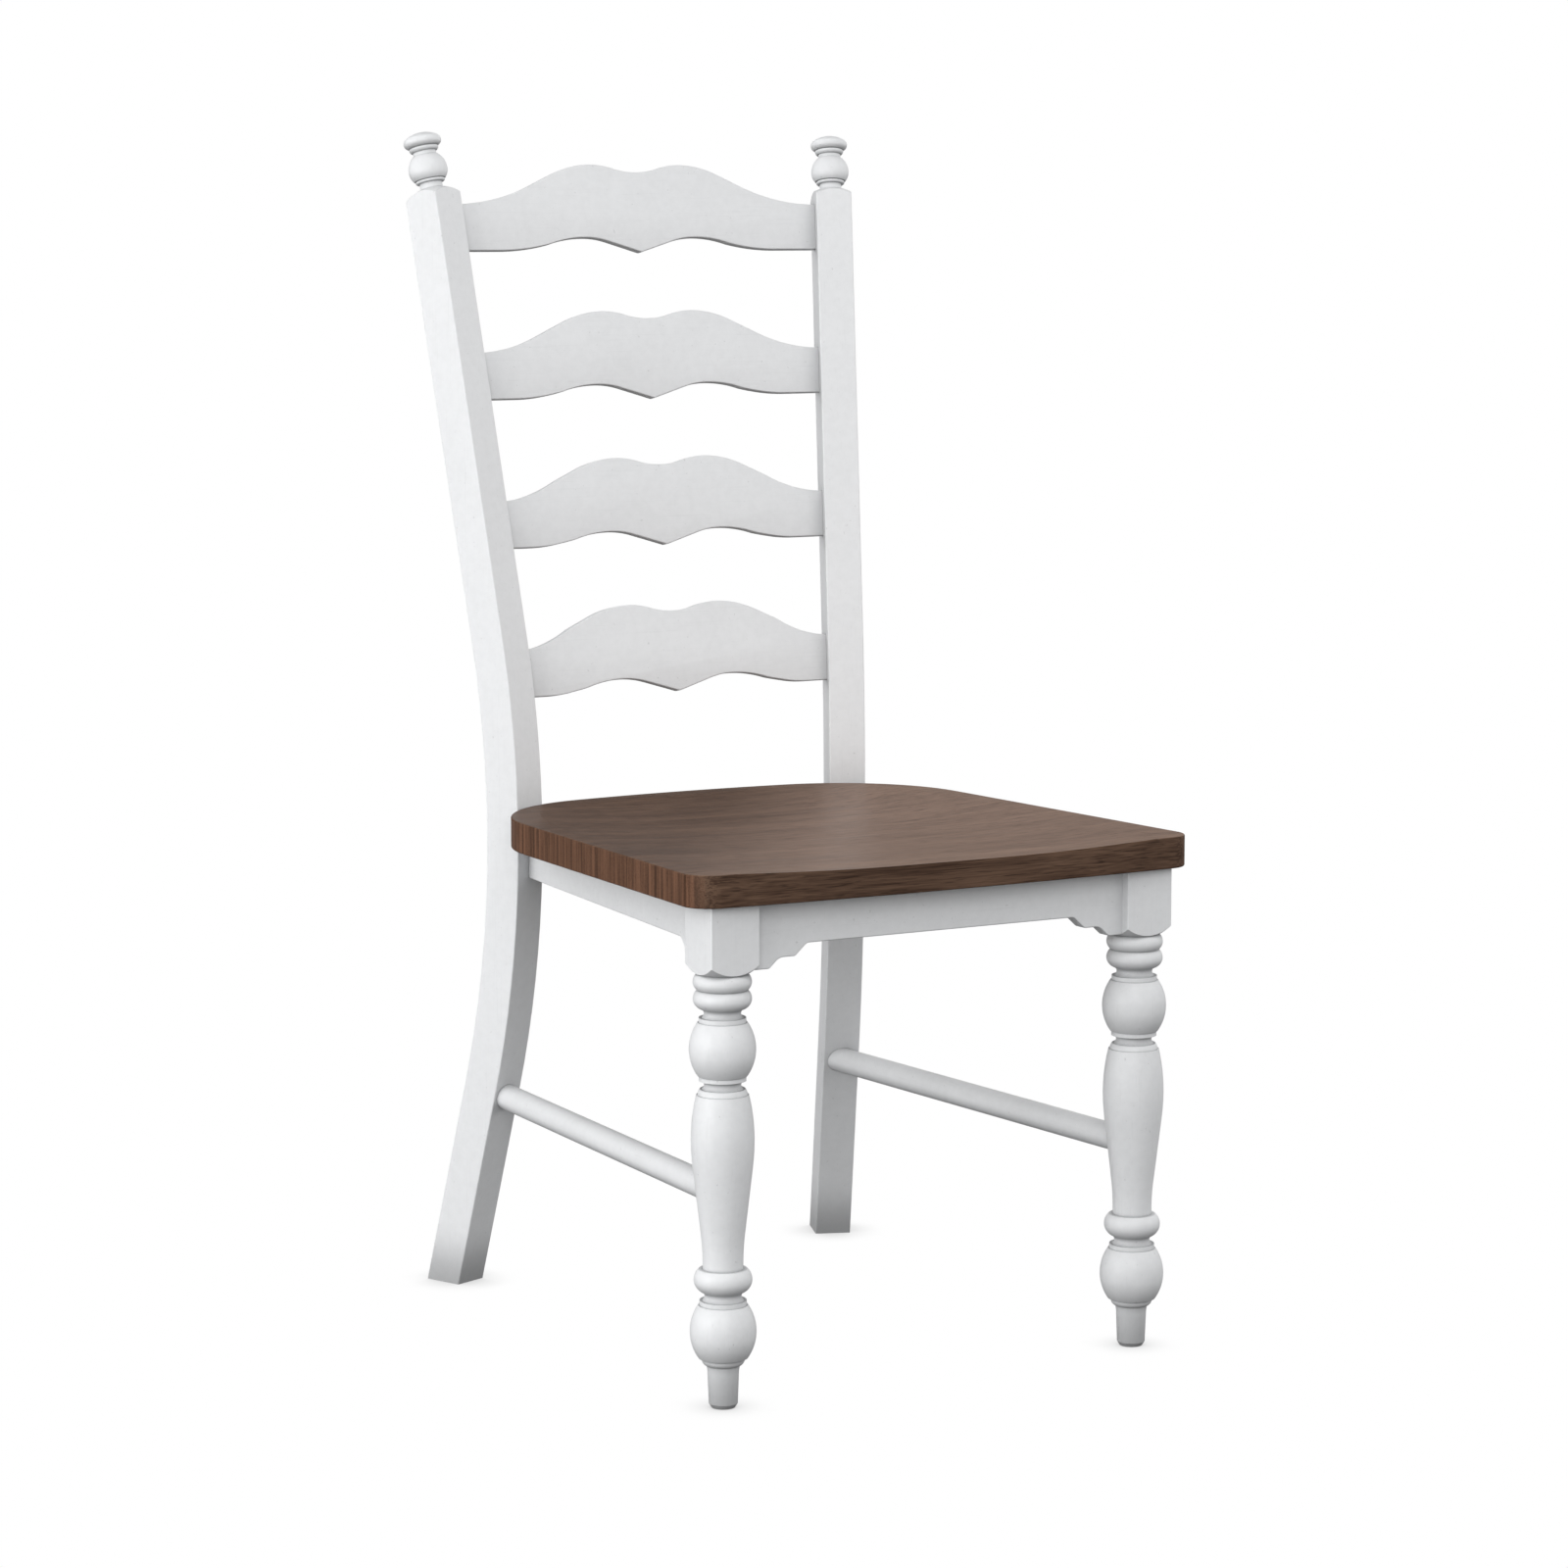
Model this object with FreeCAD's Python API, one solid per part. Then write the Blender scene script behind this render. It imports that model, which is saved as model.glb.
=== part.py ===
import FreeCAD, Part
import math
import os

# Ladderback dining chair: a stained solid seat on a painted wooden frame.
# +Z is up, the sitter faces -Y, and left means -X, as seen from in front of the chair.
# Pieces are drawn with the front leg axes at y = 0 and moved onto the origin at the end.

V = FreeCAD.Vector
UP = V(0, 0, 1)

# Fits
GLUE_GAP = 0.1            # round a tenon or a dowel in its hole
END_GAP = 1.0             # past the end of a tenon or a dowel
EASING = 1.2              # rounded arris on painted stock
OVERRUN = 60.0            # how far waste and blanks run past a cut

# Seat
SEAT_HEIGHT = 457.5       # floor to the upper arris
SEAT_THICKNESS = 28.0
SEAT_OVERHANG = 7.7       # front line ahead of the leg blocks
SEAT_SIDE_OVERHANG = 19.7  # sides beyond the leg blocks, at the front line
SEAT_REAR_OVERHANG = 45.2  # sides beyond the post centrelines, at the rear line
SEAT_DEPTH = 461.5        # front line to rear line
SEAT_FRONT_BOW = 9.2
SEAT_REAR_BOW = 25.2
SEAT_FRONT_CORNER = 24.7
SEAT_REAR_CORNER = 130.0
SEAT_EASING = 1.5
SEAT_POST_GAP = 0.3
SCOOP_DEPTH = 8.5
SCOOP_FRONT_DEPTH = 4.0   # where the scoop runs out over the front edge
SCOOP_SIDE_RIM = 22.0
SCOOP_REAR_RIM = 22.0
SCOOP_REAR_SLOPE = 62.0   # length of the slope behind the deepest part
SCOOP_DEEPEST = 0.68      # share of the seat depth where the scoop is deepest

# Front legs
LEG_SPREAD = 414.0        # between the axes
BLOCK_WIDTH = 46.2
BLOCK_HEIGHT = 51.3       # seat to the corners where the rounded shoulder starts
SHOULDER_RADIUS = 44.5    # the lathe rounds the block over on this ball
SHOULDER_NECK = 21.6
FOOT_RADIUS = 12.3
FOOT_CHAMFER = 2.3
FOOT_CHAMFER_HEIGHT = 3.6
FOOT_HEIGHT = 36.2
FOOT_TOP_RADIUS = 14.3
ANKLE_HEIGHT = 6.6
ANKLE_RADIUS = 18.2
BALL_HEIGHT = 45.2
BALL_RADIUS = 28.1
BALL_END_RADIUS = 21.0
FILLET_HEIGHT = 4.1
FILLET_RADIUS = 19.9
NECK_HEIGHT = 7.0
NECK_RADIUS = 15.6
NECK_FLARE = 1.9
RING_RADIUS = 24.7
KNEE_RING_HEIGHT = 19.8
VASE_BASE_RADIUS = 17.1
VASE_RADIUS = 26.7
VASE_TOP_RADIUS = 22.2
COLLAR_HEIGHT = 5.0
COLLAR_RADIUS = 21.0
LOWER_RING_HEIGHT = 16.2
UPPER_RING_HEIGHT = 13.7
RING_GROOVE_RADIUS = 21.2

# Rear posts: straight above and below, one long bend between, turned to face inward
POST_WIDTH = 34.3
POST_DEPTH = 38.5
POST_TURN = 21.5          # degrees about the vertical
POST_SPREAD = 352.2       # between the centrelines at the bend
POST_SETBACK = 447.1      # behind the front leg axes, at the bend
POST_BEND_HEIGHT = 432.6
POST_BEND_RADIUS = 942.0
POST_RAKE = 10.7          # degrees, above the bend
POST_KICK = 14.75         # degrees, below the bend
POST_SPLAY = 0.13         # degrees, head outward about the bend
POST_HEIGHT = 1018.8      # floor to the flat under the finial, on the centreline
DOME_RADIUS = 39.3
DOME_FLAT = 10.7
DOME_LEAN = 15.0          # degrees, axis of the dome and the finial in the post's plane

# Finials, from the post upward
FINIAL_NECK_RADIUS = 10.4
FINIAL_NECK_HEIGHT = 5.3
FINIAL_RING_RADIUS = 13.6
FINIAL_RING_HEIGHT = 3.0
FINIAL_BALL_RADIUS = 18.0
FINIAL_BALL_FOOT = 14.5
FINIAL_BALL_HEIGHT = 17.2  # base to the centre of the ball
FINIAL_WAIST_RADIUS = 10.7
FINIAL_WAIST_HEIGHT = 32.5
FINIAL_WAIST_LENGTH = 2.0
FINIAL_BEAD_RADIUS = 13.7
FINIAL_BEAD_HEIGHT = 4.4
FINIAL_CAP_RADIUS = 17.5
FINIAL_CAP_HEIGHT = 8.4
FINIAL_CROWN = 5.2
FINIAL_TENON_RADIUS = 6.0
FINIAL_TENON_LENGTH = 10.0

# Slats: four alike, sawn to a double hump above and a centre point below
SLAT_COUNT = 4
SLAT_THICKNESS = 10.0
SLAT_HEIGHT = 82.6        # hump line to the centre point
SLAT_TOP_RISE = 23.2      # humps of the top slat above the flats under the finials
SLAT_PITCH = 135.8
SLAT_SETFORWARD = 1.3     # front face ahead of the post centrelines
SLAT_HUMP_X = 46.6
SLAT_DIP = 7.1
SLAT_END_DROP = 37.4
SLAT_TAIL_ANGLE = 24.5    # degrees, steepest part of the upper edge
SLAT_TAIL_START = 87.0
SLAT_TAIL_END = 111.0
SLAT_POINT_ANGLE = 17.0   # degrees, lower edge beside the centre point
SLAT_CREST_X = 58.0
SLAT_CREST_RISE = 14.0
SLAT_FLAT_X = 146.0
SLAT_FLAT_RISE = 2.1
SLAT_TENON = 16.0

# Seat rails
RAIL_THICKNESS = 15.0
RAIL_HEIGHT = 38.3
FRONT_RAIL_RECESS = 8.8   # behind the front faces of the leg blocks
SIDE_RAIL_RECESS = 15.2   # inside the outer faces of the leg blocks
SIDE_RAIL_POST_OFFSET = 2.2  # outer face beyond the middle of the post's front face
BACK_RAIL_SETBACK = 2.4   # behind the inner front arrises of the posts
BRACKET_STEP_DROP = 10.3
BRACKET_END_DROP = 19.1
BRACKET_FLAT = 12.9       # lowest flat, from the leg block, on the front rail
SIDE_BRACKET_FLAT = 6.0   # the same on a side rail
BRACKET_STEP = 10.0       # flat between the two ogees
OGEE_WIDTH = 15.0
OGEE_SLOPE = 42.0         # degrees, straight part
OGEE_ROUND = 2.0          # width of the round at its foot

# Dowels in the rail ends
DOWEL_RADIUS = 3.0
DOWEL_LENGTH = 30.0
DOWEL_PITCH = 17.7

# Stretchers
STRETCHER_RADIUS = 11.9
STRETCHER_HEIGHT = 182.8
STRETCHER_SOCKET = 16.0

# Corner blocks under the seat, and their screws
BLOCK_DEPTH = 24.0
BLOCK_DROP = 30.0
BLOCK_GAP = 0.3
REAR_BLOCK_OFFSET = 24.0  # outer face of a rear block from the rails' inside corner
SCREW_RADIUS = 2.2
SCREW_HEAD_RADIUS = 4.2
SCREW_HEAD_HEIGHT = 2.6
RAIL_SCREW_LENGTH = 16.0
SEAT_SCREW_LENGTH = 45.0
SCREW_EDGE = 14.4         # from the end of a block's long face to its rail screw
COUNTERBORE_GAP = 0.4

SEAT_UNDERSIDE = SEAT_HEIGHT - SEAT_THICKNESS
SLAT_TOP_LINE = POST_HEIGHT + SLAT_TOP_RISE
HALF_SPREAD = LEG_SPREAD / 2
HALF_BLOCK = BLOCK_WIDTH / 2
SEAT_FRONT = -HALF_BLOCK - SEAT_OVERHANG
SEAT_FRONT_HALF = HALF_SPREAD + HALF_BLOCK + SEAT_SIDE_OVERHANG
SEAT_REAR_HALF = POST_SPREAD / 2 + SEAT_REAR_OVERHANG
RAIL_BOTTOM = SEAT_UNDERSIDE - RAIL_HEIGHT
TURN = math.radians(POST_TURN)
RAKE = math.radians(POST_RAKE)
KICK = math.radians(POST_KICK)


class Path:
    """A chain of lines and arcs in a plane, given by its two directions."""

    def __init__(self, start, across=V(1, 0, 0), along=UP, origin=V(0, 0, 0)):
        self.across = across
        self.along = along
        self.origin = origin
        self.start = start
        self.at = start
        self.edges = []

    def point(self, p):
        return self.origin + self.across * p[0] + self.along * p[1]

    def line(self, *p):
        if math.dist(self.at, p) > 1e-6:
            self.edges.append(Part.LineSegment(self.point(self.at), self.point(p)).toShape())
        self.at = p
        return self

    def arc(self, mid, end):
        arc = Part.Arc(self.point(self.at), self.point(mid), self.point(end))
        self.edges.append(arc.toShape())
        self.at = end
        return self

    def leave(self, angle, end):
        """Arc that leaves the present point at an angle in degrees and ends at a point."""
        chord = math.atan2(end[1] - self.at[1], end[0] - self.at[0])
        turn = chord - math.radians(angle)
        half = math.dist(self.at, end) / 2
        rise = half * math.tan(turn / 2)
        middle = ((self.at[0] + end[0]) / 2, (self.at[1] + end[1]) / 2)
        mid = (middle[0] + rise * math.sin(chord), middle[1] - rise * math.cos(chord))
        return self.arc(mid, end)

    def arrive(self, angle, end):
        """Arc that reaches a point heading at an angle in degrees."""
        chord = math.degrees(math.atan2(end[1] - self.at[1], end[0] - self.at[0]))
        return self.leave(2 * chord - angle, end)

    def face(self):
        self.line(*self.start)
        return Part.Face(Part.Wire(self.edges))


def mirrored(shape):
    return shape.mirror(V(0, 0, 0), V(1, 0, 0))


def cylinder(radius, length, base, direction):
    return Part.makeCylinder(radius, length, base, direction)


def cut_all(shape, tools):
    for tool in tools:
        shape = shape.cut(tool)
    return shape


def eased(board, across, inside):
    """Round the arrises of a board's two faces, square to across, where their middle is inside."""
    arrises = []
    for edge in board.Edges:
        ends = edge.Vertexes
        level = abs((ends[0].Point - ends[-1].Point).dot(across)) < 0.01
        if level and inside(edge.CenterOfMass):
            arrises.append(edge)
    return board.makeFillet(EASING, arrises)


def meet(p, d, q, e):
    """Where the line through p along d crosses the line through q along e, in plan."""
    cross = d.x * e.y - d.y * e.x
    share = ((q.x - p.x) * e.y - (q.y - p.y) * e.x) / cross
    return p + d * share


def prism(corners, bottom, height):
    """Upright prism on a closed polygon in plan."""
    loop = [V(c.x, c.y, bottom) for c in corners]
    return Part.Face(Part.makePolygon(loop + loop[:1])).extrude(UP * height)


# Front legs

def leg_turning():
    """Everything below the square block, turned about the Z axis."""
    path = Path((0, 0))
    path.line(FOOT_RADIUS - FOOT_CHAMFER, 0)
    path.line(FOOT_RADIUS, FOOT_CHAMFER_HEIGHT)
    flare = FOOT_TOP_RADIUS - FOOT_RADIUS
    path.line(FOOT_RADIUS + flare / 2, FOOT_HEIGHT * 0.85)
    path.leave(86, (FOOT_TOP_RADIUS, FOOT_HEIGHT))

    z = FOOT_HEIGHT + ANKLE_HEIGHT
    path.line(FOOT_TOP_RADIUS + 0.3, FOOT_HEIGHT)
    path.leave(22, (ANKLE_RADIUS, z))
    z = ball(path, z)
    z = fillet(path, z)
    z = neck(path, z)
    z = ring(path, z, KNEE_RING_HEIGHT, NECK_RADIUS + NECK_FLARE, FILLET_RADIUS + 0.6)
    z = vase(path, z)
    path.line(COLLAR_RADIUS, z)
    path.leave(90, (COLLAR_RADIUS - 1.8, z + COLLAR_HEIGHT))
    z = neck(path, z + COLLAR_HEIGHT)
    z = fillet(path, z)
    z = ball(path, z)
    z = fillet(path, z)
    z = neck(path, z)
    z = ring(path, z, LOWER_RING_HEIGHT, NECK_RADIUS + NECK_FLARE, RING_GROOVE_RADIUS)
    z = ring(path, z, UPPER_RING_HEIGHT, RING_GROOVE_RADIUS, SHOULDER_NECK)
    path.line(SHOULDER_NECK, block_shoulder())
    path.line(0, block_shoulder())
    return path.face().revolve(V(0, 0, 0), UP, 360)


def ball(path, z):
    path.line(BALL_END_RADIUS, z)
    path.arc((BALL_RADIUS, z + BALL_HEIGHT / 2), (BALL_END_RADIUS, z + BALL_HEIGHT))
    return z + BALL_HEIGHT


def fillet(path, z):
    path.line(FILLET_RADIUS, z)
    path.line(FILLET_RADIUS, z + FILLET_HEIGHT)
    return z + FILLET_HEIGHT


def neck(path, z):
    end = NECK_RADIUS + NECK_FLARE
    path.line(end, z)
    path.arc((NECK_RADIUS, z + NECK_HEIGHT / 2), (end, z + NECK_HEIGHT))
    return z + NECK_HEIGHT


def ring(path, z, height, low, high):
    path.line(low, z)
    path.arc((RING_RADIUS, z + height * 0.56), (high, z + height))
    return z + height


def vase(path, z):
    """Slender base, straight flare and a full shoulder, filling the height that is left."""
    above = COLLAR_HEIGHT + 2 * NECK_HEIGHT + 2 * FILLET_HEIGHT + BALL_HEIGHT
    above += LOWER_RING_HEIGHT + UPPER_RING_HEIGHT
    top = block_shoulder() - above
    length = top - z
    path.line(VASE_BASE_RADIUS, z)
    path.line(VASE_BASE_RADIUS, z + length * 0.03)
    path.leave(90, (VASE_BASE_RADIUS + 2.1, z + length * 0.235))
    path.line(VASE_RADIUS - 1.45, z + length * 0.58)
    path.leave(83, (VASE_RADIUS, z + length * 0.74))
    path.leave(90, (VASE_TOP_RADIUS, top))
    return top


def block_shoulder():
    """Height where the rounded end of the block meets the upper ring."""
    corner = HALF_BLOCK * math.sqrt(2)
    rise = math.sqrt(SHOULDER_RADIUS ** 2 - SHOULDER_NECK ** 2)
    rise -= math.sqrt(SHOULDER_RADIUS ** 2 - corner ** 2)
    return SEAT_UNDERSIDE - BLOCK_HEIGHT - rise


def rounding_waste(radius, neck, reach):
    """What the lathe takes off square stock above the origin to round it over to a neck."""
    centre = -math.sqrt(radius ** 2 - neck ** 2)
    rim = reach + 1.0
    low = centre + math.sqrt(radius ** 2 - rim ** 2)
    half = (math.asin(neck / radius) + math.asin(rim / radius)) / 2
    path = Path((0, 0))
    path.line(neck, 0)
    path.arc((radius * math.sin(half), centre + radius * math.cos(half)), (rim, low))
    path.line(2 * reach, low)
    path.line(2 * reach, 2 * OVERRUN)
    path.line(0, 2 * OVERRUN)
    return path.face().revolve(V(0, 0, 0), UP, 360)


def leg_blank():
    """Left front leg before its joints are cut."""
    low = block_shoulder()
    block = Part.makeBox(
        BLOCK_WIDTH, BLOCK_WIDTH, SEAT_UNDERSIDE - low, V(-HALF_BLOCK, -HALF_BLOCK, low))
    arrises = [e for e in block.Edges if e.BoundBox.ZLength > BLOCK_WIDTH]
    block = block.makeFillet(EASING, arrises)
    waste = rounding_waste(SHOULDER_RADIUS, SHOULDER_NECK, HALF_BLOCK * math.sqrt(2))
    waste.rotate(V(0, 0, 0), V(1, 0, 0), 180)
    waste.translate(UP * low)
    leg = block.cut(waste).fuse(leg_turning()).removeSplitter()
    leg.translate(V(-HALF_SPREAD, 0, 0))
    return leg


# Rear posts

def post_plane(sign):
    """Directions of a post's own plane: backward, and across towards the outside."""
    back = V(sign * math.sin(TURN), math.cos(TURN), 0)
    out = V(sign * math.cos(TURN), -math.sin(TURN), 0)
    return back, out


def post_point(sign, height):
    """A point on the centreline of a post; sign is -1 for the left one."""
    rise = height - POST_BEND_HEIGHT
    top = POST_BEND_RADIUS * math.sin(RAKE)
    low = -POST_BEND_RADIUS * math.sin(KICK)
    if rise > top:
        offset = POST_BEND_RADIUS * (1 - math.cos(RAKE)) + (rise - top) * math.tan(RAKE)
    elif rise < low:
        offset = POST_BEND_RADIUS * (1 - math.cos(KICK)) + (low - rise) * math.tan(KICK)
    else:
        offset = POST_BEND_RADIUS - math.sqrt(POST_BEND_RADIUS ** 2 - rise ** 2)
    back, out = post_plane(sign)
    splay = FreeCAD.Rotation(V(0, 1, 0), sign * POST_SPLAY)
    return post_bend(sign) + splay.multVec(back * offset + UP * rise)


def post_bend(sign):
    return V(sign * POST_SPREAD / 2, POST_SETBACK, POST_BEND_HEIGHT)


def post_bar(grow=0.0, widen=0.0):
    """Bent square bar of the left post, running past both of its ends."""
    back, out = post_plane(-1)
    half = POST_DEPTH / 2 + grow
    width = POST_WIDTH + 2 * (grow + widen)
    foot = (POST_BEND_RADIUS * (1 - math.cos(KICK)), -POST_BEND_RADIUS * math.sin(KICK))
    head = (POST_BEND_RADIUS * (1 - math.cos(RAKE)), POST_BEND_RADIUS * math.sin(RAKE))
    foot_run = (POST_BEND_HEIGHT + foot[1] + OVERRUN) / math.cos(KICK)
    head_run = (POST_HEIGHT - POST_BEND_HEIGHT - head[1] + OVERRUN) / math.cos(RAKE)

    def foot_at(run, side):
        return (foot[0] + run * math.sin(KICK) + side * math.cos(KICK),
                foot[1] - run * math.cos(KICK) + side * math.sin(KICK))

    def head_at(run, side):
        return (head[0] + run * math.sin(RAKE) + side * math.cos(RAKE),
                head[1] + run * math.cos(RAKE) - side * math.sin(RAKE))

    path = Path(foot_at(foot_run, -half), back, UP, post_bend(-1) - out * (width / 2))
    path.line(*foot_at(0, -half))
    path.arc((-half, 0), head_at(0, -half))
    path.line(*head_at(head_run, -half))
    path.line(*head_at(head_run, half))
    path.line(*head_at(0, half))
    path.arc((half, 0), foot_at(0, half))
    path.line(*foot_at(foot_run, half))
    bar = path.face().extrude(out * width)
    bar.rotate(post_bend(-1), V(0, 1, 0), -POST_SPLAY)
    return bar


def post_blank():
    """Left rear post before its joints are cut."""
    bar = post_bar()
    long_edges = [e for e in bar.Edges if e.Length > 2 * POST_DEPTH]
    bar = bar.makeFillet(EASING, long_edges)
    bar = bar.cut(Part.makeBox(2000, 2000, 500, V(-1000, -1000, -500)))
    waste = rounding_waste(DOME_RADIUS, DOME_FLAT, math.hypot(POST_WIDTH, POST_DEPTH) / 2)
    return bar.cut(on_post_top(waste))


def finial():
    """Left finial: neck, ring, ball, waist, bead and cap, with a tenon below."""
    path = Path((0, -FINIAL_TENON_LENGTH))
    path.line(FINIAL_TENON_RADIUS, -FINIAL_TENON_LENGTH)
    path.line(FINIAL_TENON_RADIUS, 0)
    path.line(FINIAL_NECK_RADIUS, 0)
    path.line(FINIAL_NECK_RADIUS, FINIAL_NECK_HEIGHT)
    z = FINIAL_NECK_HEIGHT
    path.line(FINIAL_RING_RADIUS - 1.4, z)
    path.arc((FINIAL_RING_RADIUS, z + FINIAL_RING_HEIGHT / 2),
             (FINIAL_RING_RADIUS - 0.6, z + FINIAL_RING_HEIGHT))
    z += FINIAL_RING_HEIGHT
    step = 0.7
    waist = FINIAL_WAIST_RADIUS + 2 * step
    above = math.sqrt(FINIAL_BALL_RADIUS ** 2 - waist ** 2)
    path.line(FINIAL_BALL_FOOT, z)
    path.arrive(90, (FINIAL_BALL_RADIUS, FINIAL_BALL_HEIGHT))
    path.leave(90, (waist, FINIAL_BALL_HEIGHT + above))
    path.arrive(90, (FINIAL_WAIST_RADIUS, FINIAL_WAIST_HEIGHT))
    z = FINIAL_WAIST_HEIGHT + FINIAL_WAIST_LENGTH
    path.line(FINIAL_WAIST_RADIUS, z)
    path.line(FINIAL_WAIST_RADIUS + step, z)
    path.arrive(90, (FINIAL_BEAD_RADIUS, z + FINIAL_BEAD_HEIGHT * 0.8))
    z += FINIAL_BEAD_HEIGHT
    path.line(FINIAL_BEAD_RADIUS - step, z)
    rim = FINIAL_CAP_RADIUS - 2 * step
    path.arrive(90, (FINIAL_CAP_RADIUS, z + FINIAL_CAP_HEIGHT * 0.6))
    z += FINIAL_CAP_HEIGHT
    path.leave(90, (rim, z))
    path.arrive(180, (0, z + FINIAL_CROWN))
    piece = path.face().revolve(V(0, 0, 0), UP, 360)
    return on_post_top(piece)


def on_post_top(shape):
    """Stand a piece drawn about the Z axis on the flat of the left post."""
    back, out = post_plane(-1)
    lean = math.radians(DOME_LEAN)
    turn = FreeCAD.Rotation(UP, back * math.sin(lean) + UP * math.cos(lean))
    placed = shape.copy()
    placed.Placement = FreeCAD.Placement(post_point(-1, POST_HEIGHT), turn)
    return placed


def finial_socket():
    depth = FINIAL_TENON_LENGTH + END_GAP
    hole = cylinder(FINIAL_TENON_RADIUS + GLUE_GAP, depth + 1, V(0, 0, -depth), UP)
    return on_post_top(hole)


# Slats

def slat_frame(index):
    """Middle of a slat's hump line on its front face, and the way its face runs up."""
    height = SLAT_TOP_LINE - index * SLAT_PITCH
    centreline = post_point(-1, height)
    rake = math.atan(math.cos(TURN) * math.tan(RAKE))
    up = V(0, math.sin(rake), math.cos(rake))
    return V(0, centreline.y - SLAT_SETFORWARD, height), up


def slat_reach(index, depth):
    """Half the length of a slat at its front face, let into the posts by a depth."""
    middle, up = slat_frame(index)
    centre = post_point(1, middle.z - SLAT_END_DROP * up.z)
    back, out = post_plane(1)
    face = centre - out * (POST_WIDTH / 2 - depth)
    return meet(face, back, middle, V(1, 0, 0)).x


def slat_outline(index, grow, depth):
    """Front face of a slat: two humps above, a centre point and two crests below."""
    middle, up = slat_frame(index)
    shown = slat_reach(index, 0)
    end = slat_reach(index, depth)
    top = grow - SLAT_END_DROP
    low = SLAT_FLAT_RISE - SLAT_HEIGHT - grow
    point = -SLAT_HEIGHT - grow
    crest = SLAT_CREST_RISE - SLAT_HEIGHT - grow
    dip_x = SLAT_HUMP_X / 2
    tail = math.radians(SLAT_TAIL_ANGLE)
    drop = (SLAT_TAIL_START - SLAT_HUMP_X) * math.tan(tail / 2)
    foot = drop + (SLAT_TAIL_END - SLAT_TAIL_START) * math.tan(tail)
    slope = math.tan(math.radians(SLAT_POINT_ANGLE))
    half_slope = math.tan(math.radians(SLAT_POINT_ANGLE / 2))
    run = (SLAT_CREST_RISE - SLAT_CREST_X * half_slope) / (slope - half_slope)
    hollow_x = SLAT_CREST_X + (SLAT_FLAT_X - SLAT_CREST_X) * 0.42
    hollow = (crest + low) / 2

    path = Path((end, top), V(1, 0, 0), up, middle)
    path.line(shown, top)
    path.arrive(180 - SLAT_TAIL_ANGLE, (SLAT_TAIL_END, grow - foot))
    path.line(SLAT_TAIL_START, grow - drop)
    path.arrive(180, (SLAT_HUMP_X, grow))
    path.leave(180, (dip_x, grow - SLAT_DIP / 2))
    path.arrive(180, (0, grow - SLAT_DIP))
    path.leave(180, (-dip_x, grow - SLAT_DIP / 2))
    path.arrive(180, (-SLAT_HUMP_X, grow))
    path.leave(180, (-SLAT_TAIL_START, grow - drop))
    path.line(-SLAT_TAIL_END, grow - foot)
    path.leave(180 + SLAT_TAIL_ANGLE, (-shown, top))
    path.line(-end, top)
    path.line(-end, low)
    path.line(-SLAT_FLAT_X, low)
    path.leave(0, (-hollow_x, hollow))
    path.arrive(0, (-SLAT_CREST_X, crest))
    path.leave(0, (-run, point + run * slope))
    path.line(0, point)
    path.line(run, point + run * slope)
    path.arrive(0, (SLAT_CREST_X, crest))
    path.leave(0, (hollow_x, hollow))
    path.arrive(0, (SLAT_FLAT_X, low))
    path.line(end, low)
    return path.face()


def slat_board(index, grow, depth):
    """A slat with sharp arrises; grown and deepened it is the tool for its mortises."""
    middle, up = slat_frame(index)
    back = V(1, 0, 0).cross(up) * -1
    board = slat_outline(index, grow, depth)
    board.translate(back * -grow)
    return board.extrude(back * (SLAT_THICKNESS + 2 * grow))


def slat(index):
    middle, up = slat_frame(index)
    shown = slat_reach(index, 0)
    board = slat_board(index, 0, SLAT_TENON)
    return eased(board, V(1, 0, 0).cross(up), lambda p: abs(p.x) < shown)


# Seat rails

def ogee(path, width, height):
    """Small round, straight slope and hollow; it rises, or falls if height is negative."""
    x, z = path.at
    slope = math.radians(OGEE_SLOPE)
    full = math.tan(slope)
    half = math.tan(slope / 2)
    straight = (abs(height) - width * half) / (full - half)
    sign = 1 if height > 0 else -1
    first = OGEE_ROUND if height > 0 else width - straight - OGEE_ROUND
    path.leave(0, (x + first, z + sign * first * half))
    path.line(path.at[0] + straight, path.at[1] + sign * straight * full)
    path.arrive(0, (x + width, z + height))


def bracket(path, flat):
    """Stepped bracket: a flat at the leg, an ogee up to the step, an ogee up to the rail."""
    low = path.at[1]
    step = RAIL_BOTTOM - BRACKET_STEP_DROP
    path.line(path.at[0] + flat, low)
    ogee(path, OGEE_WIDTH, step - low)
    path.line(path.at[0] + BRACKET_STEP, step)
    ogee(path, OGEE_WIDTH, RAIL_BOTTOM - step)


def front_rail_face():
    """Outline of the front rail, with a stepped bracket beside each leg."""
    end = HALF_SPREAD - HALF_BLOCK
    low = RAIL_BOTTOM - BRACKET_END_DROP
    step = RAIL_BOTTOM - BRACKET_STEP_DROP
    path = Path((-end, low), origin=V(0, FRONT_RAIL_RECESS - HALF_BLOCK, 0))
    bracket(path, BRACKET_FLAT)
    path.line(-path.at[0], RAIL_BOTTOM)
    ogee(path, OGEE_WIDTH, step - RAIL_BOTTOM)
    path.line(path.at[0] + BRACKET_STEP, step)
    ogee(path, OGEE_WIDTH, low - step)
    path.line(end, low)
    path.line(end, SEAT_UNDERSIDE)
    path.line(-end, SEAT_UNDERSIDE)
    return path.face()


def front_rail():
    board = front_rail_face().extrude(V(0, RAIL_THICKNESS, 0))
    end = HALF_SPREAD - HALF_BLOCK - 1
    return eased(board, V(0, 1, 0),
                 lambda p: abs(p.x) < end and p.z < SEAT_UNDERSIDE - 1)


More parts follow.
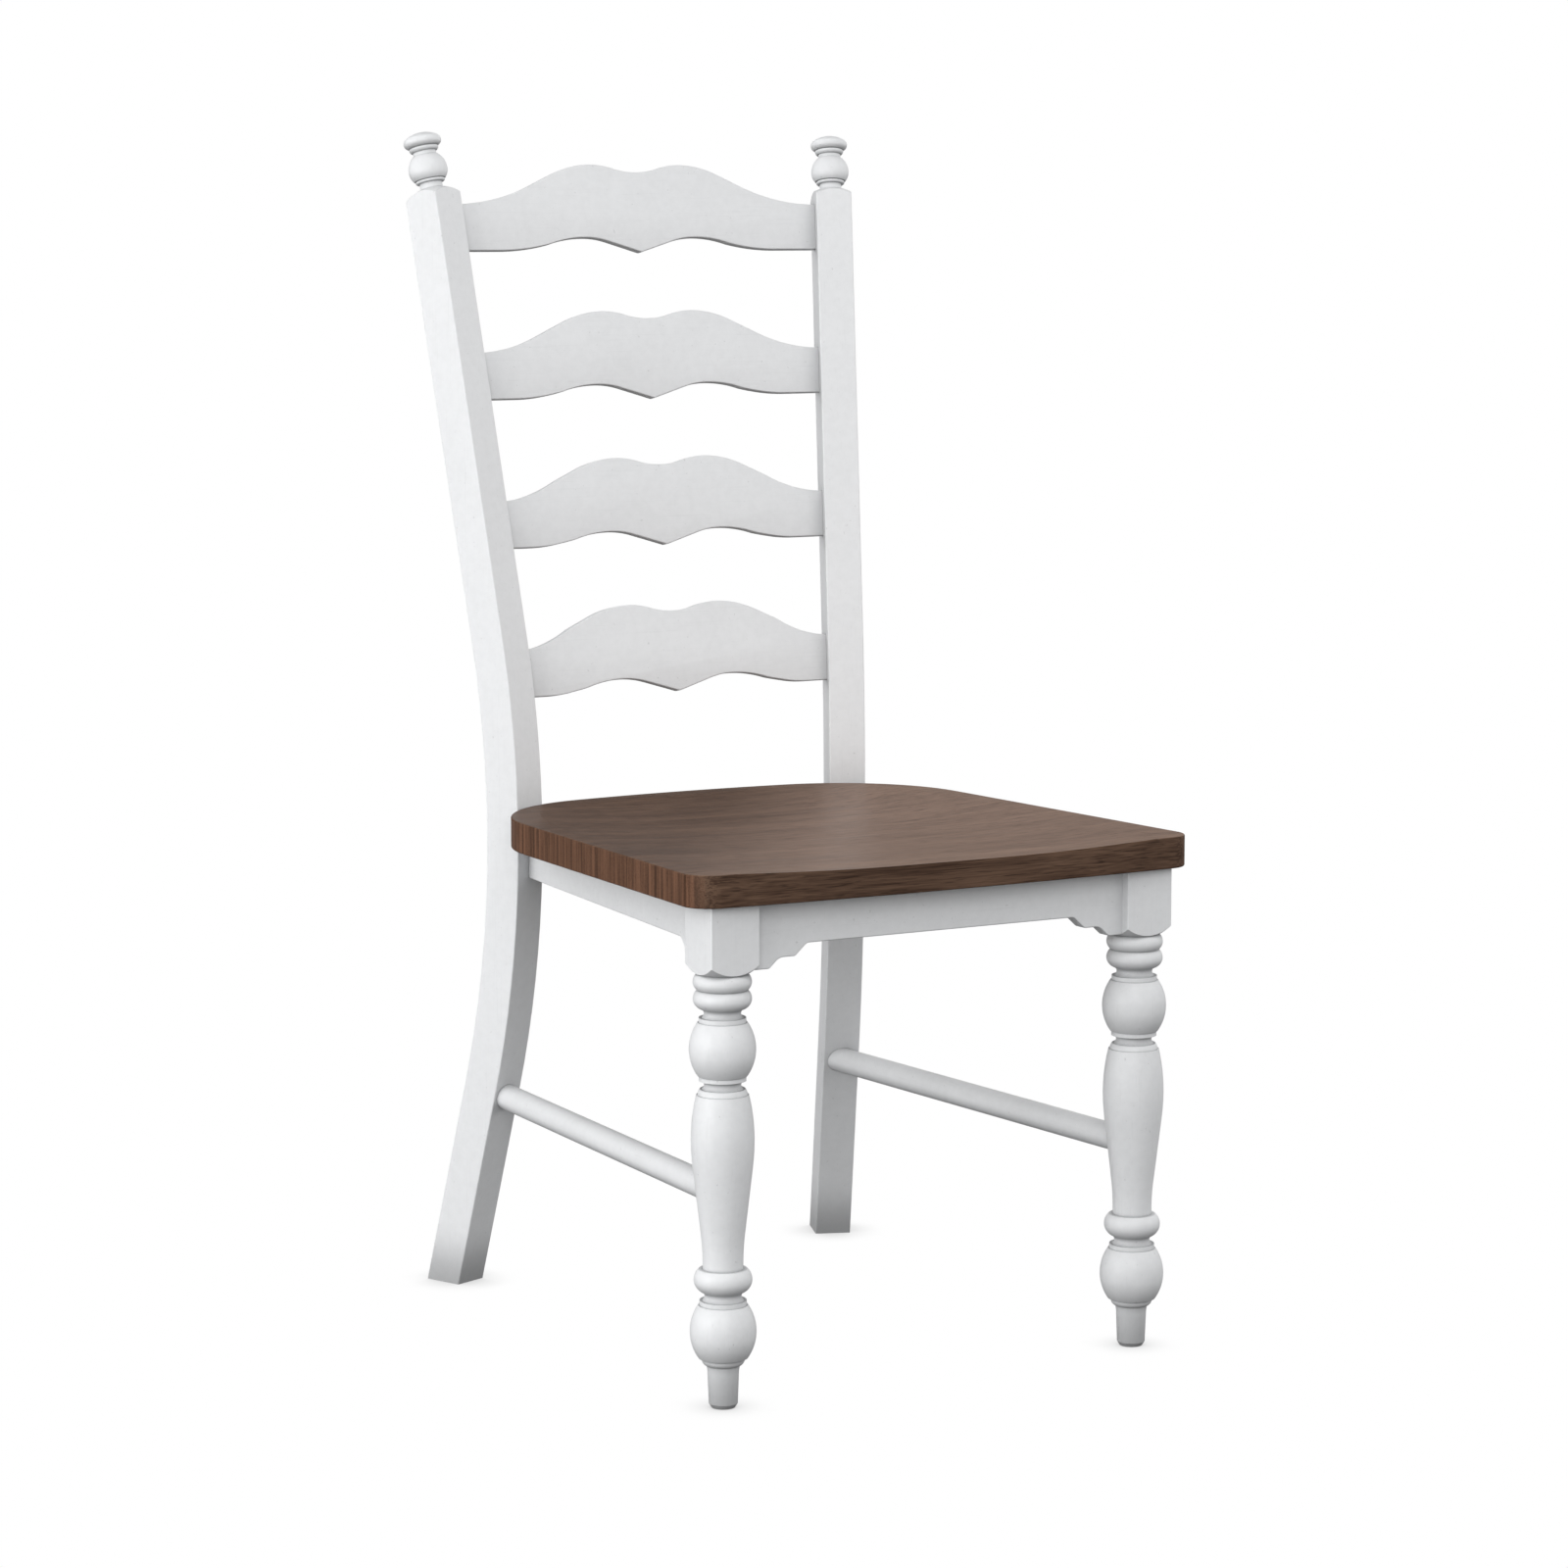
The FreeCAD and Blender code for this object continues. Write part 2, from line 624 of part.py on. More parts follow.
def side_rail_line():
    """Outer face of the left side rail in plan: its ends at the leg and at the post."""
    front = V(-HALF_SPREAD - HALF_BLOCK + SIDE_RAIL_RECESS, HALF_BLOCK, 0)
    back, out = post_plane(-1)
    centre = post_point(-1, SEAT_UNDERSIDE - RAIL_HEIGHT / 2)
    rear = centre - back * (POST_DEPTH / 2) + out * SIDE_RAIL_POST_OFFSET
    return front, V(rear.x, rear.y, 0)


def side_rail():
    """Left side rail: a bracket at the leg, and its rear end scribed to the post."""
    front, rear = side_rail_line()
    along = (rear - front).normalize()
    inward = V(along.y, -along.x, 0)
    lead = -RAIL_THICKNESS * along.x / along.y
    past = (rear - front).Length + RAIL_THICKNESS
    path = Path((lead - 1, RAIL_BOTTOM - BRACKET_END_DROP), along, UP, front)
    bracket(path, SIDE_BRACKET_FLAT + 1 - lead)
    path.line(past, RAIL_BOTTOM)
    path.line(past, SEAT_UNDERSIDE)
    path.line(lead - 1, SEAT_UNDERSIDE)
    rail = path.face().extrude(inward * RAIL_THICKNESS)
    ahead = Part.makeBox(400, 200, 200, V(-400, HALF_BLOCK - 200, RAIL_BOTTOM - 100))
    rail = rail.cut(ahead).cut(post_bar(GLUE_GAP, RAIL_THICKNESS))
    last = rear.y - RAIL_THICKNESS
    return eased(rail, inward,
                 lambda p: HALF_BLOCK + 1 < p.y < last and p.z < SEAT_UNDERSIDE - 1)


def back_rail():
    """Plain rail between the inner faces of the posts."""
    back, out = post_plane(1)
    centre = post_point(1, SEAT_UNDERSIDE - RAIL_HEIGHT / 2)
    arris = centre - out * (POST_WIDTH / 2) - back * (POST_DEPTH / 2)
    front = V(0, arris.y + BACK_RAIL_SETBACK, 0)
    rear = front + V(0, RAIL_THICKNESS, 0)
    inner = centre - out * (POST_WIDTH / 2)
    a = meet(inner, back, front, V(1, 0, 0))
    b = meet(inner, back, rear, V(1, 0, 0))
    corners = [a, b, V(-b.x, b.y, 0), V(-a.x, a.y, 0)]
    board = prism(corners, RAIL_BOTTOM, RAIL_HEIGHT)
    return eased(board, V(0, 1, 0), lambda p: p.z < RAIL_BOTTOM + 1)


# Dowels: each joint is a pair, one above the other. A joint is its middle in plan, its
# direction and its shift up in pitches, so that pairs that meet in a post are staggered.

def dowel_pair(joint, grow=0.0):
    """Two dowels across a joint face; grown they are the tools for their holes."""
    place, direction, shift = joint
    length = DOWEL_LENGTH + (2 * END_GAP if grow else 0)
    middle = place + UP * (SEAT_UNDERSIDE - RAIL_HEIGHT / 2 + shift * DOWEL_PITCH)
    pair = []
    for level in (-0.5, 0.5):
        base = middle + UP * (level * DOWEL_PITCH) - direction * (length / 2)
        pair.append(cylinder(DOWEL_RADIUS + grow, length, base, direction))
    return pair


def front_rail_joint():
    y = FRONT_RAIL_RECESS - HALF_BLOCK + RAIL_THICKNESS / 2
    return V(-HALF_SPREAD + HALF_BLOCK, y, 0), V(1, 0, 0), 0.25


def side_rail_joints():
    front, rear = side_rail_line()
    along = (rear - front).normalize()
    inward = V(along.y, -along.x, 0) * (RAIL_THICKNESS / 2)
    leg_face = meet(front + inward, along, V(0, HALF_BLOCK, 0), V(1, 0, 0))
    back, out = post_plane(-1)
    post_face = meet(front + inward, along, rear, out)
    return (leg_face, along, -0.25), (post_face, along, -0.25)


def back_rail_joint():
    back, out = post_plane(-1)
    centre = post_point(-1, SEAT_UNDERSIDE - RAIL_HEIGHT / 2)
    inner = centre - out * (POST_WIDTH / 2)
    arris = inner - back * (POST_DEPTH / 2)
    middle = V(0, arris.y + BACK_RAIL_SETBACK + RAIL_THICKNESS / 2, 0)
    joint = meet(inner, back, middle, V(1, 0, 0))
    return V(joint.x, joint.y, 0), V(1, 0, 0), 0.25


# Stretchers

def stretcher_line():
    """Ends of the left stretcher's axis: on the leg axis and on the post's front face."""
    back, out = post_plane(-1)
    rear = post_point(-1, STRETCHER_HEIGHT) - back * (POST_DEPTH / 2 / math.cos(KICK))
    return V(-HALF_SPREAD, 0, STRETCHER_HEIGHT), rear


def stretcher(grow=0.0):
    """Round rail let into the leg's vase and the post; grown it is the tool for both."""
    front, rear = stretcher_line()
    along = (rear - front).normalize()
    extra = END_GAP if grow else 0
    start = front + along * (VASE_RADIUS - STRETCHER_SOCKET - 3 - extra)
    end = rear + along * (STRETCHER_SOCKET + extra)
    return cylinder(STRETCHER_RADIUS + grow, (end - start).Length, start, along)


# Corner blocks and screws

def front_block_plan():
    """Corners in plan: two on the front rail's back face, two on the side rail."""
    front, rear = side_rail_line()
    along = (rear - front).normalize()
    inner = front + V(along.y, -along.x, 0) * RAIL_THICKNESS
    rail = V(0, FRONT_RAIL_RECESS - HALF_BLOCK + RAIL_THICKNESS, 0)
    leg = V(-HALF_SPREAD + HALF_BLOCK, HALF_BLOCK, 0)
    slant = V(1, -1, 0).normalize()
    inward = V(1, 1, 0).normalize()
    near = leg + inward * BLOCK_GAP
    far = near + inward * BLOCK_DEPTH
    return [meet(near, slant, rail, V(1, 0, 0)), meet(far, slant, rail, V(1, 0, 0)),
            meet(far, slant, inner, along), meet(near, slant, inner, along)]


def rear_block_plan():
    """Corners in plan: two on the side rail, two on the back rail's front face."""
    front, rear = side_rail_line()
    along = (rear - front).normalize()
    inner = front + V(along.y, -along.x, 0) * RAIL_THICKNESS
    joint, direction, shift = back_rail_joint()
    rail = joint - V(0, RAIL_THICKNESS / 2, 0)
    corner = meet(inner, along, rail, V(1, 0, 0))
    slant = V(1, 1, 0).normalize()
    inward = V(1, -1, 0).normalize()
    near = corner + inward * REAR_BLOCK_OFFSET
    far = near + inward * BLOCK_DEPTH
    return [meet(near, slant, inner, along), meet(far, slant, inner, along),
            meet(far, slant, rail, V(1, 0, 0)), meet(near, slant, rail, V(1, 0, 0))]


def corner_block(plan):
    return prism(plan, SEAT_UNDERSIDE - BLOCK_DROP, BLOCK_DROP)


def screw(head, direction, length):
    """Pan head screw whose head bears at a point."""
    shank = cylinder(SCREW_RADIUS, length, head, direction)
    cap = cylinder(SCREW_HEAD_RADIUS, SCREW_HEAD_HEIGHT, head, direction * -1)
    return cap.fuse(shank).removeSplitter()


def screw_hole(head, direction, length):
    """Hole for a screw, with a counterbore that runs out over the head."""
    shank = cylinder(SCREW_RADIUS + GLUE_GAP, length + END_GAP, head, direction)
    radius = SCREW_HEAD_RADIUS + COUNTERBORE_GAP
    return shank.fuse(cylinder(radius, 3 * radius, head, direction * -1))


def block_screws(plan):
    """Two screws square to the rails and one up into the seat, for one block."""
    near_a, far_a, far_b, near_b = plan
    level = UP * (SEAT_UNDERSIDE - BLOCK_DROP / 2)
    span = (far_b - far_a).normalize()
    depth = SCREW_HEAD_RADIUS + 2 * COUNTERBORE_GAP
    screws = []
    for near, far, toward in ((near_a, far_a, span), (near_b, far_b, span * -1)):
        rail = (near - far).normalize()
        square = rail * rail.dot(toward) - toward
        square.normalize()
        screws.append((far + toward * SCREW_EDGE + level + square * depth, square,
                       RAIL_SCREW_LENGTH))
    middle = (near_a + far_a + far_b + near_b) * 0.25
    screws.append((middle + UP * (SEAT_UNDERSIDE - BLOCK_DROP), UP, SEAT_SCREW_LENGTH))
    return screws


# Seat

def seat_blank():
    """Seat before its scoop and notches: bowed front and rear, rounded corners."""
    rear = SEAT_FRONT + SEAT_DEPTH
    start = (-SEAT_FRONT_HALF, SEAT_FRONT)
    path = Path(start, V(1, 0, 0), V(0, 1, 0), UP * SEAT_UNDERSIDE)
    path.arc((0, SEAT_FRONT - SEAT_FRONT_BOW), (SEAT_FRONT_HALF, SEAT_FRONT))
    path.line(SEAT_REAR_HALF, rear)
    path.arc((0, rear + SEAT_REAR_BOW), (-SEAT_REAR_HALF, rear))
    blank = path.face().extrude(UP * SEAT_THICKNESS)
    upright = [e for e in blank.Edges if e.BoundBox.ZLength > SEAT_THICKNESS / 2]
    front_corners = [e for e in upright if e.CenterOfMass.y < 0]
    blank = blank.makeFillet(SEAT_FRONT_CORNER, front_corners)
    upright = [e for e in blank.Edges if e.BoundBox.ZLength > SEAT_THICKNESS / 2]
    rear_corners = [e for e in upright if e.CenterOfMass.y > rear - SEAT_REAR_CORNER / 2]
    blank = blank.makeFillet(SEAT_REAR_CORNER, rear_corners)
    level = [e for e in blank.Edges if e.BoundBox.ZLength < 0.1]
    return blank.makeFillet(SEAT_EASING, level)


def scoop_section(y, half, depth):
    """Flat-bottomed hollow across the seat, closed above it."""
    z = SEAT_HEIGHT
    clear = 6.0
    points = [V(-half, y, z), V(-half * 0.84, y, z - depth * 0.32),
              V(-half * 0.5, y, z - depth * 0.86), V(0, y, z - depth),
              V(half * 0.5, y, z - depth * 0.86), V(half * 0.84, y, z - depth * 0.32),
              V(half, y, z)]
    floor = Part.BSplineCurve()
    floor.interpolate(points)
    lid = Part.makePolygon([V(half, y, z), V(half, y, z + clear),
                            V(-half, y, z + clear), V(-half, y, z)])
    return Part.Wire([floor.toShape()] + lid.Edges)


def scoop():
    """Dished sitting area, deepest behind the middle and running out at the front."""
    rear = SEAT_FRONT + SEAT_DEPTH + SEAT_REAR_BOW - SCOOP_REAR_RIM
    wide = SEAT_FRONT_HALF - SCOOP_SIDE_RIM
    narrow = SEAT_REAR_HALF - SCOOP_SIDE_RIM
    deepest = SEAT_FRONT + SEAT_DEPTH * SCOOP_DEEPEST
    halfway = (SEAT_FRONT + deepest) / 2
    sections = [
        scoop_section(SEAT_FRONT - OVERRUN, wide * 0.9, SCOOP_FRONT_DEPTH * 0.6),
        scoop_section(SEAT_FRONT, wide * 0.94, SCOOP_FRONT_DEPTH),
        scoop_section(halfway, wide, (SCOOP_DEPTH + SCOOP_FRONT_DEPTH) / 2),
        scoop_section(deepest, (wide + narrow) / 2, SCOOP_DEPTH),
        scoop_section(rear - SCOOP_REAR_SLOPE, narrow * 0.94, SCOOP_DEPTH * 0.86),
        scoop_section(rear, narrow * 0.8, 0.05)]
    return Part.makeLoft(sections, True, False)


def seat():
    body = seat_blank().cut(scoop())
    notch = post_bar(SEAT_POST_GAP)
    return body.cut(notch).cut(mirrored(notch))


# Assembly

def build():
    """Every piece by node name, with the joints cut."""
    parts = {}
    leg = leg_blank()
    post = post_blank()
    rail = front_rail()
    flank = side_rail()
    rear = back_rail()
    top = seat()

    front_joint = front_rail_joint()
    leg_joint, post_joint = side_rail_joints()
    rear_joint = back_rail_joint()

    leg_holes = dowel_pair(front_joint, GLUE_GAP) + dowel_pair(leg_joint, GLUE_GAP)
    leg = cut_all(leg, leg_holes + [stretcher(GLUE_GAP)])
    post_holes = dowel_pair(post_joint, GLUE_GAP) + dowel_pair(rear_joint, GLUE_GAP)
    post_holes += [stretcher(GLUE_GAP), finial_socket()]
    deep = SLAT_TENON + END_GAP
    post_holes += [slat_board(i, GLUE_GAP, deep) for i in range(SLAT_COUNT)]
    post = cut_all(post, post_holes)
    end_holes = dowel_pair(front_joint, GLUE_GAP)
    rail = cut_all(rail, end_holes + [mirrored(h) for h in end_holes])
    flank = cut_all(flank, dowel_pair(leg_joint, GLUE_GAP) + dowel_pair(post_joint, GLUE_GAP))
    end_holes = dowel_pair(rear_joint, GLUE_GAP)
    rear = cut_all(rear, end_holes + [mirrored(h) for h in end_holes])

    front_plan = front_block_plan()
    rear_plan = rear_block_plan()
    front_screws = block_screws(front_plan)
    rear_screws = block_screws(rear_plan)
    front_holes = [screw_hole(*s) for s in front_screws]
    rear_holes = [screw_hole(*s) for s in rear_screws]
    front_block = cut_all(corner_block(front_plan), front_holes)
    rear_block = cut_all(corner_block(rear_plan), rear_holes)
    rail_cuts = front_holes[:2]
    rail = cut_all(rail, rail_cuts + [mirrored(c) for c in rail_cuts])
    flank = cut_all(flank, front_holes[:2] + rear_holes[:2])
    rear = cut_all(rear, rear_holes[:2] + [mirrored(c) for c in rear_holes[:2]])
    seat_cuts = [front_holes[2], rear_holes[2]]
    top = cut_all(top, seat_cuts + [mirrored(c) for c in seat_cuts])

    pairs = {
        "front_leg": leg, "rear_post": post, "finial": finial(), "side_rail": flank,
        "stretcher": stretcher(), "front_corner_block": front_block,
        "rear_corner_block": rear_block,
        "side_rail_dowels": Part.Compound(dowel_pair(leg_joint) + dowel_pair(post_joint))}
    for name, shape in pairs.items():
        parts[name + "_left"] = shape
        parts[name + "_right"] = mirrored(shape)
    parts["seat"] = top
    parts["front_rail"] = rail
    parts["back_rail"] = rear
    for i, place in enumerate(("top", "upper", "lower", "bottom")[:SLAT_COUNT]):
        parts["slat_" + place] = slat(i)
    for name, joint in (("front_rail", front_joint), ("back_rail", rear_joint)):
        pair = dowel_pair(joint)
        parts[name + "_dowels"] = Part.Compound(pair + [mirrored(d) for d in pair])
    rail_screws = [screw(*s) for s in front_screws[:2] + rear_screws[:2]]
    seat_screws = [screw(*s) for s in (front_screws[2], rear_screws[2])]
    for name, group in (("rail_screws", rail_screws), ("seat_screws", seat_screws)):
        parts[name] = Part.Compound(group + [mirrored(s) for s in group])
    return parts


def onto_origin(parts):
    """Move the chair so that the origin lies on the floor under its middle."""
    box = Part.Compound(list(parts.values())).optimalBoundingBox(False)
    shift = V(-(box.XMin + box.XMax) / 2, -(box.YMin + box.YMax) / 2, -box.ZMin)
    for shape in parts.values():
        shape.translate(shift)
    return shift


def main():
    os.makedirs("parts", exist_ok=True)
    parts = build()
    shift = onto_origin(parts)
    for name, shape in parts.items():
        shape.exportStep("parts/" + name + ".step")
    box = Part.Compound(list(parts.values())).optimalBoundingBox(False)
    print("leg axes at y =", round(shift.y, 2))
    print("overall", round(box.XLength, 1), round(box.YLength, 1), round(box.ZLength, 1))
    print(len(parts), "nodes,", sum(len(s.Solids) for s in parts.values()), "solids")


main()
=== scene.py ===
import math

import bmesh
import bpy
from mathutils import Matrix, Vector


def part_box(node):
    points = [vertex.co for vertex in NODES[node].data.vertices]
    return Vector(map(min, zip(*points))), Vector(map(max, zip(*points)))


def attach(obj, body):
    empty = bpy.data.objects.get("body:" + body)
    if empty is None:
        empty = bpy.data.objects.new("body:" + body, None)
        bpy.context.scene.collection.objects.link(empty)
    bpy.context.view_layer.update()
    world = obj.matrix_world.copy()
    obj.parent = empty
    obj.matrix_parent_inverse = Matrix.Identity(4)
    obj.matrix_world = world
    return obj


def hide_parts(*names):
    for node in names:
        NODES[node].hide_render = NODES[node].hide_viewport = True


bl_info = {
    "name": "Ladderback chair",
    "version": (1, 0, 0),
    "blender": (4, 5, 0),
    "location": "3D View > Sidebar > Chair",
    "description": "Finishes and details of a painted ladderback chair with a stained seat",
    "category": "Object",
}

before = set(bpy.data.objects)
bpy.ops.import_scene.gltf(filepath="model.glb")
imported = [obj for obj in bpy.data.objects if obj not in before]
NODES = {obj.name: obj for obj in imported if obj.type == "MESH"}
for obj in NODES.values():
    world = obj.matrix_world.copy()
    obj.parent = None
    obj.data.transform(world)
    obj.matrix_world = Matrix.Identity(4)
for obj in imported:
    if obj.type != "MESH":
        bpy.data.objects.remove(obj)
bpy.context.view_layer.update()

LEGS = ("front_leg_left", "front_leg_right")
POSTS = ("rear_post_left", "rear_post_right")
FINIALS = ("finial_left", "finial_right")
ACROSS = ("front_rail", "back_rail")
FLANK = ("side_rail_left", "side_rail_right")
STRETCHERS = ("stretcher_left", "stretcher_right")
SLATS = ("slat_top", "slat_upper", "slat_lower", "slat_bottom")
BLOCKS = ("front_corner_block_left", "front_corner_block_right",
          "rear_corner_block_left", "rear_corner_block_right")
DOWELS = ("front_rail_dowels", "back_rail_dowels",
          "side_rail_dowels_left", "side_rail_dowels_right")
SCREWS = ("rail_screws", "seat_screws")

# Axis that the grain follows
GRAIN_X, GRAIN_Y, GRAIN_Z = 0, 1, 2

# Share of open air over which the painted shade in grooves and at joints, and the painted shadow
# of the feet on the floor, run out
GROOVE_AIR = (0.28, 0.80)
JOINT_AIR = (0.40, 0.95)
FLOOR_AIR = (0.30, 0.95)
FLOOR_SHADOW = 0.66       # brightness of the floor's painted shadow right under a foot

# How far a face looks down, up or sideways before its tone begins and ends to change: down for
# the painted shade on undersides, up for the painted light and sheen on the seat, sideways for
# its end grain
LOOKS_DOWN = (-0.85, -0.10)
LOOKS_UP = (0.50, 0.95)
LOOKS_SIDEWAYS = (0.55, 0.88)

# Seat: boards, contrast of its grain, and the painted light and sheen at its front right
BOARD_START = -0.341      # y where the boards are counted from
LIGHT_GRAIN = 1.42        # of the middle tone
DARK_END_GRAIN = 0.52
SHEEN_WAY = (0.815, -0.58)
SHEEN_EDGE = (-0.07, 0.08)
SHEEN_LEAST = 0.16       # share of the painted light and sheen on the rest of the seat

# Fineness of the meshes
ARC_STEPS = 14
STRAIGHT = 1e-6           # an arc that turns less is a line
ARRIS_STEPS = 3
ARRIS_ANGLE = 28          # degrees; sharper edges of a slat are rounded
SLAT_SMOOTH = 30          # degrees; flatter edges of a slat shade smooth
SCREW_SMOOTH = 32
HEAD_RINGS = 7
HEAD_SIDES = 32
SHANK_SIDES = 20
SAME_POINT = 1e-6
SAME_RING = 1e-5          # points whose distances differ by less are one ring of a screw

# Form of a slat's lower edge and of a screw head
HOLLOW_TURN = 0.42        # from a crest to the flat, where the curve changes side
HEAD_RIM = 0.35           # share of the height that stands straight
HEAD_CROWN = 0.25         # share of the radius that is flat
SLOT_LENGTH = 1.25        # of the head's radius
SLOT_DEPTH = 0.6          # of the head's height

# Each softbox: name, setting of its power, place and width
LAMPS = (
    ("left_lamp", "left", (-3.4, -0.5, 0.5), 2.4),
    ("camera_lamp", "camera_side", (-2.0, -3.4, 1.9), 2.4),
    ("front_right_lamp", "front_right", (2.6, -2.6, 1.6), 2.4),
    ("right_lamp", "right", (3.5, 0.0, 1.4), 2.4),
    ("back_right_lamp", "back_right", (2.4, 2.8, 1.6), 2.4),
    ("back_left_lamp", "back_left", (-2.8, 2.4, 1.6), 2.4),
    ("overhead_lamp", "overhead", (0.0, -1.3, 3.0), 1.6),
)
LAMP_AIM = (0.0, 0.0, 0.55)
FLOOR_HALF = 12.0
SENSOR_WIDTH = 36.0


# Sizes and colours that a user would change

def colour(name, description, default):
    return bpy.props.FloatVectorProperty(
        name=name, description=description, default=default,
        size=3, min=0.0, max=1.0, subtype="COLOR")


def length(name, description, default):
    return bpy.props.FloatProperty(
        name=name, description=description, default=default,
        min=0.0, unit="LENGTH", precision=4)


def amount(name, description, default, most=1.0):
    return bpy.props.FloatProperty(
        name=name, description=description, default=default,
        min=0.0, max=most, subtype="FACTOR")


def angle(name, description, degrees):
    return bpy.props.FloatProperty(
        name=name, description=description, default=math.radians(degrees),
        unit="ROTATION")


def power(name, description, default):
    return bpy.props.FloatProperty(
        name=name, description=description, default=default, min=0.0, unit="POWER")


class ChairPaint(bpy.types.PropertyGroup):
    """White satin paint on the frame"""

    tint: colour("Paint", "Colour of the paint", (0.825, 0.835, 0.847))
    # Colour of the painted shade in grooves and under beads and balls
    groove_shade_tint: colour("Hollows", "Colour that gathers in grooves", (0.30, 0.31, 0.32))
    roughness: amount("Roughness", "Roughness of the satin paint", 0.40)
    grain: amount("Grain", "How far the wood grain shows through", 0.16)
    grain_depth: length("Grain depth", "Depth of the grain at full strength", 0.0004)
    groove_reach: length("Groove reach", "How far grooves are darkened", 0.009)
    arris: length("Arris", "Radius at which sharp arrises shade round", 0.0008)
    # Reach and strength of the painted shade at the joints, where other parts are near
    joint_reach: length("Joint reach", "How far dust shades the joints", 0.045)
    joint_shade: amount("Joint shade", "How much dust shades the joints", 0.20)
    # Painted shade on faces that look down
    underside_shade: amount("Undersides", "How much thinner and greyer the paint is below", 0.34)
    # Height and strength of the painted shade on the feet near the floor
    foot_shade_height: length("Scuff height", "Height of the grey scuffs over the floor", 0.062)
    foot_shade: amount("Scuffs", "How grey the scuffed feet are", 0.36)


class ChairStain(bpy.types.PropertyGroup):
    """Dark stain and satin lacquer on the seat"""

    tint: colour("Stain", "Middle tone of the stained wood", (0.124, 0.075, 0.050))
    dark_tint: colour("Dark grain", "Tone of the dark grain", (0.040, 0.021, 0.014))
    end_tint: colour("End grain", "Tone of the end grain", (0.124, 0.062, 0.037))
    # Painted light and sheen on the front right of the seat's top: its tint and strength
    sheen_tint: colour("Worn", "Tone that the rubbed lacquer drifts to", (0.46, 0.325, 0.26))
    sheen: amount("Wear", "How far the rubbed part of the seat drifts", 0.38)
    roughness: amount("Roughness", "Roughness of the lacquer", 0.42)
    shine: amount("Shine", "Strength of the lacquer's reflection", 0.07)
    grain: amount("Grain", "How far the grain stands out", 0.16)
    grain_depth: length("Grain depth", "Depth of the grain at full strength", 0.0003)
    arris: length("Arris", "Radius at which sharp arrises shade round", 0.0007)
    board_width: length("Board width", "Width of the boards in the seat", 0.118)


class ChairSlats(bpy.types.PropertyGroup):
    """Shape of the four slats in the back"""

    count: bpy.props.IntProperty(
        name="Count", description="Number of slats", default=4, min=1, max=8)
    thickness: length("Thickness", "Thickness of a slat", 0.010)
    height: length("Height", "From the humps to the centre point", 0.0826)
    pitch: length("Pitch", "Distance from slat to slat, straight up", 0.1358)
    tenon: length("Tenon", "How far each end is let into its post", 0.016)
    hump: length("Hump", "From the middle to a hump", 0.0466)
    dip: length("Dip", "Depth of the dip between the humps", 0.0071)
    end_drop: length("End drop", "From the humps to the upper edge at a post", 0.0374)
    tail_start: length("Tail start", "Where the tail begins to run straight", 0.087)
    tail_end: length("Tail end", "Where the tail begins to level out", 0.111)
    tail_angle: angle("Tail angle", "Slope of the tail", 24.5)
    point_angle: angle("Point angle", "Slope beside the centre point", 17.0)
    crest: length("Crest", "From the middle to a crest in the lower edge", 0.058)
    crest_rise: length("Crest rise", "Height of a crest over the point", 0.014)
    flat: length("Flat", "From the middle to the flat in the lower edge", 0.146)
    flat_rise: length("Flat rise", "Height of the flat over the point", 0.0021)
    arris: length("Arris", "Rounding of the edges", 0.0012)


class ChairScrews(bpy.types.PropertyGroup):
    """Pan head screws under the seat"""

    head: length("Head", "Radius of a screw head", 0.0042)
    head_height: length("Head height", "Height of a screw head", 0.0026)
    shank: length("Shank", "Radius of a shank", 0.0022)
    slot: length("Slot", "Width of the cross slot", 0.0012)
    metal: colour("Metal", "Colour of the zinc", (0.46, 0.44, 0.39))


class ChairStage(bpy.types.PropertyGroup):
    """Floor, lamps and camera"""

    left: power("Left lamp", "Low softbox on the left", 80.0)
    camera_side: power("Camera lamp", "Softbox beside the camera", 46.0)
    front_right: power("Front right lamp", "Softbox at the front right", 21.0)
    right: power("Right lamp", "Softbox on the right", 36.0)
    back_right: power("Back right lamp", "Softbox behind, on the right", 45.0)
    back_left: power("Back left lamp", "Softbox behind, on the left", 36.0)
    overhead: power("Overhead lamp", "Small softbox above the front", 13.0)
    sky: amount("Room", "Even light from the walls and ceiling", 0.46, 4.0)
    ground: amount("Floor", "Even light from the floor", 0.16, 4.0)
    gloss: amount("Gloss", "Strength of the room as gloss shows it", 0.20, 4.0)
    shadow: length("Shadow", "Reach of the shadow round a foot", 0.04)
    camera: bpy.props.FloatVectorProperty(
        name="Camera", description="Place of the camera", size=3,
        default=(-1.961329, -3.414146, 0.990449), subtype="XYZ", unit="LENGTH")
    heading: angle("Heading", "Turn of the camera from +Y towards +X", 29.907039)
    tilt: angle("Tilt", "Camera's angle below the horizon", 7.303347)
    roll: angle("Roll", "Camera's turn about its own axis", -0.031087)
    lens: bpy.props.FloatProperty(
        name="Lens", description="Focal length of the camera", default=101.0962,
        min=1.0, unit="CAMERA")


# Node trees

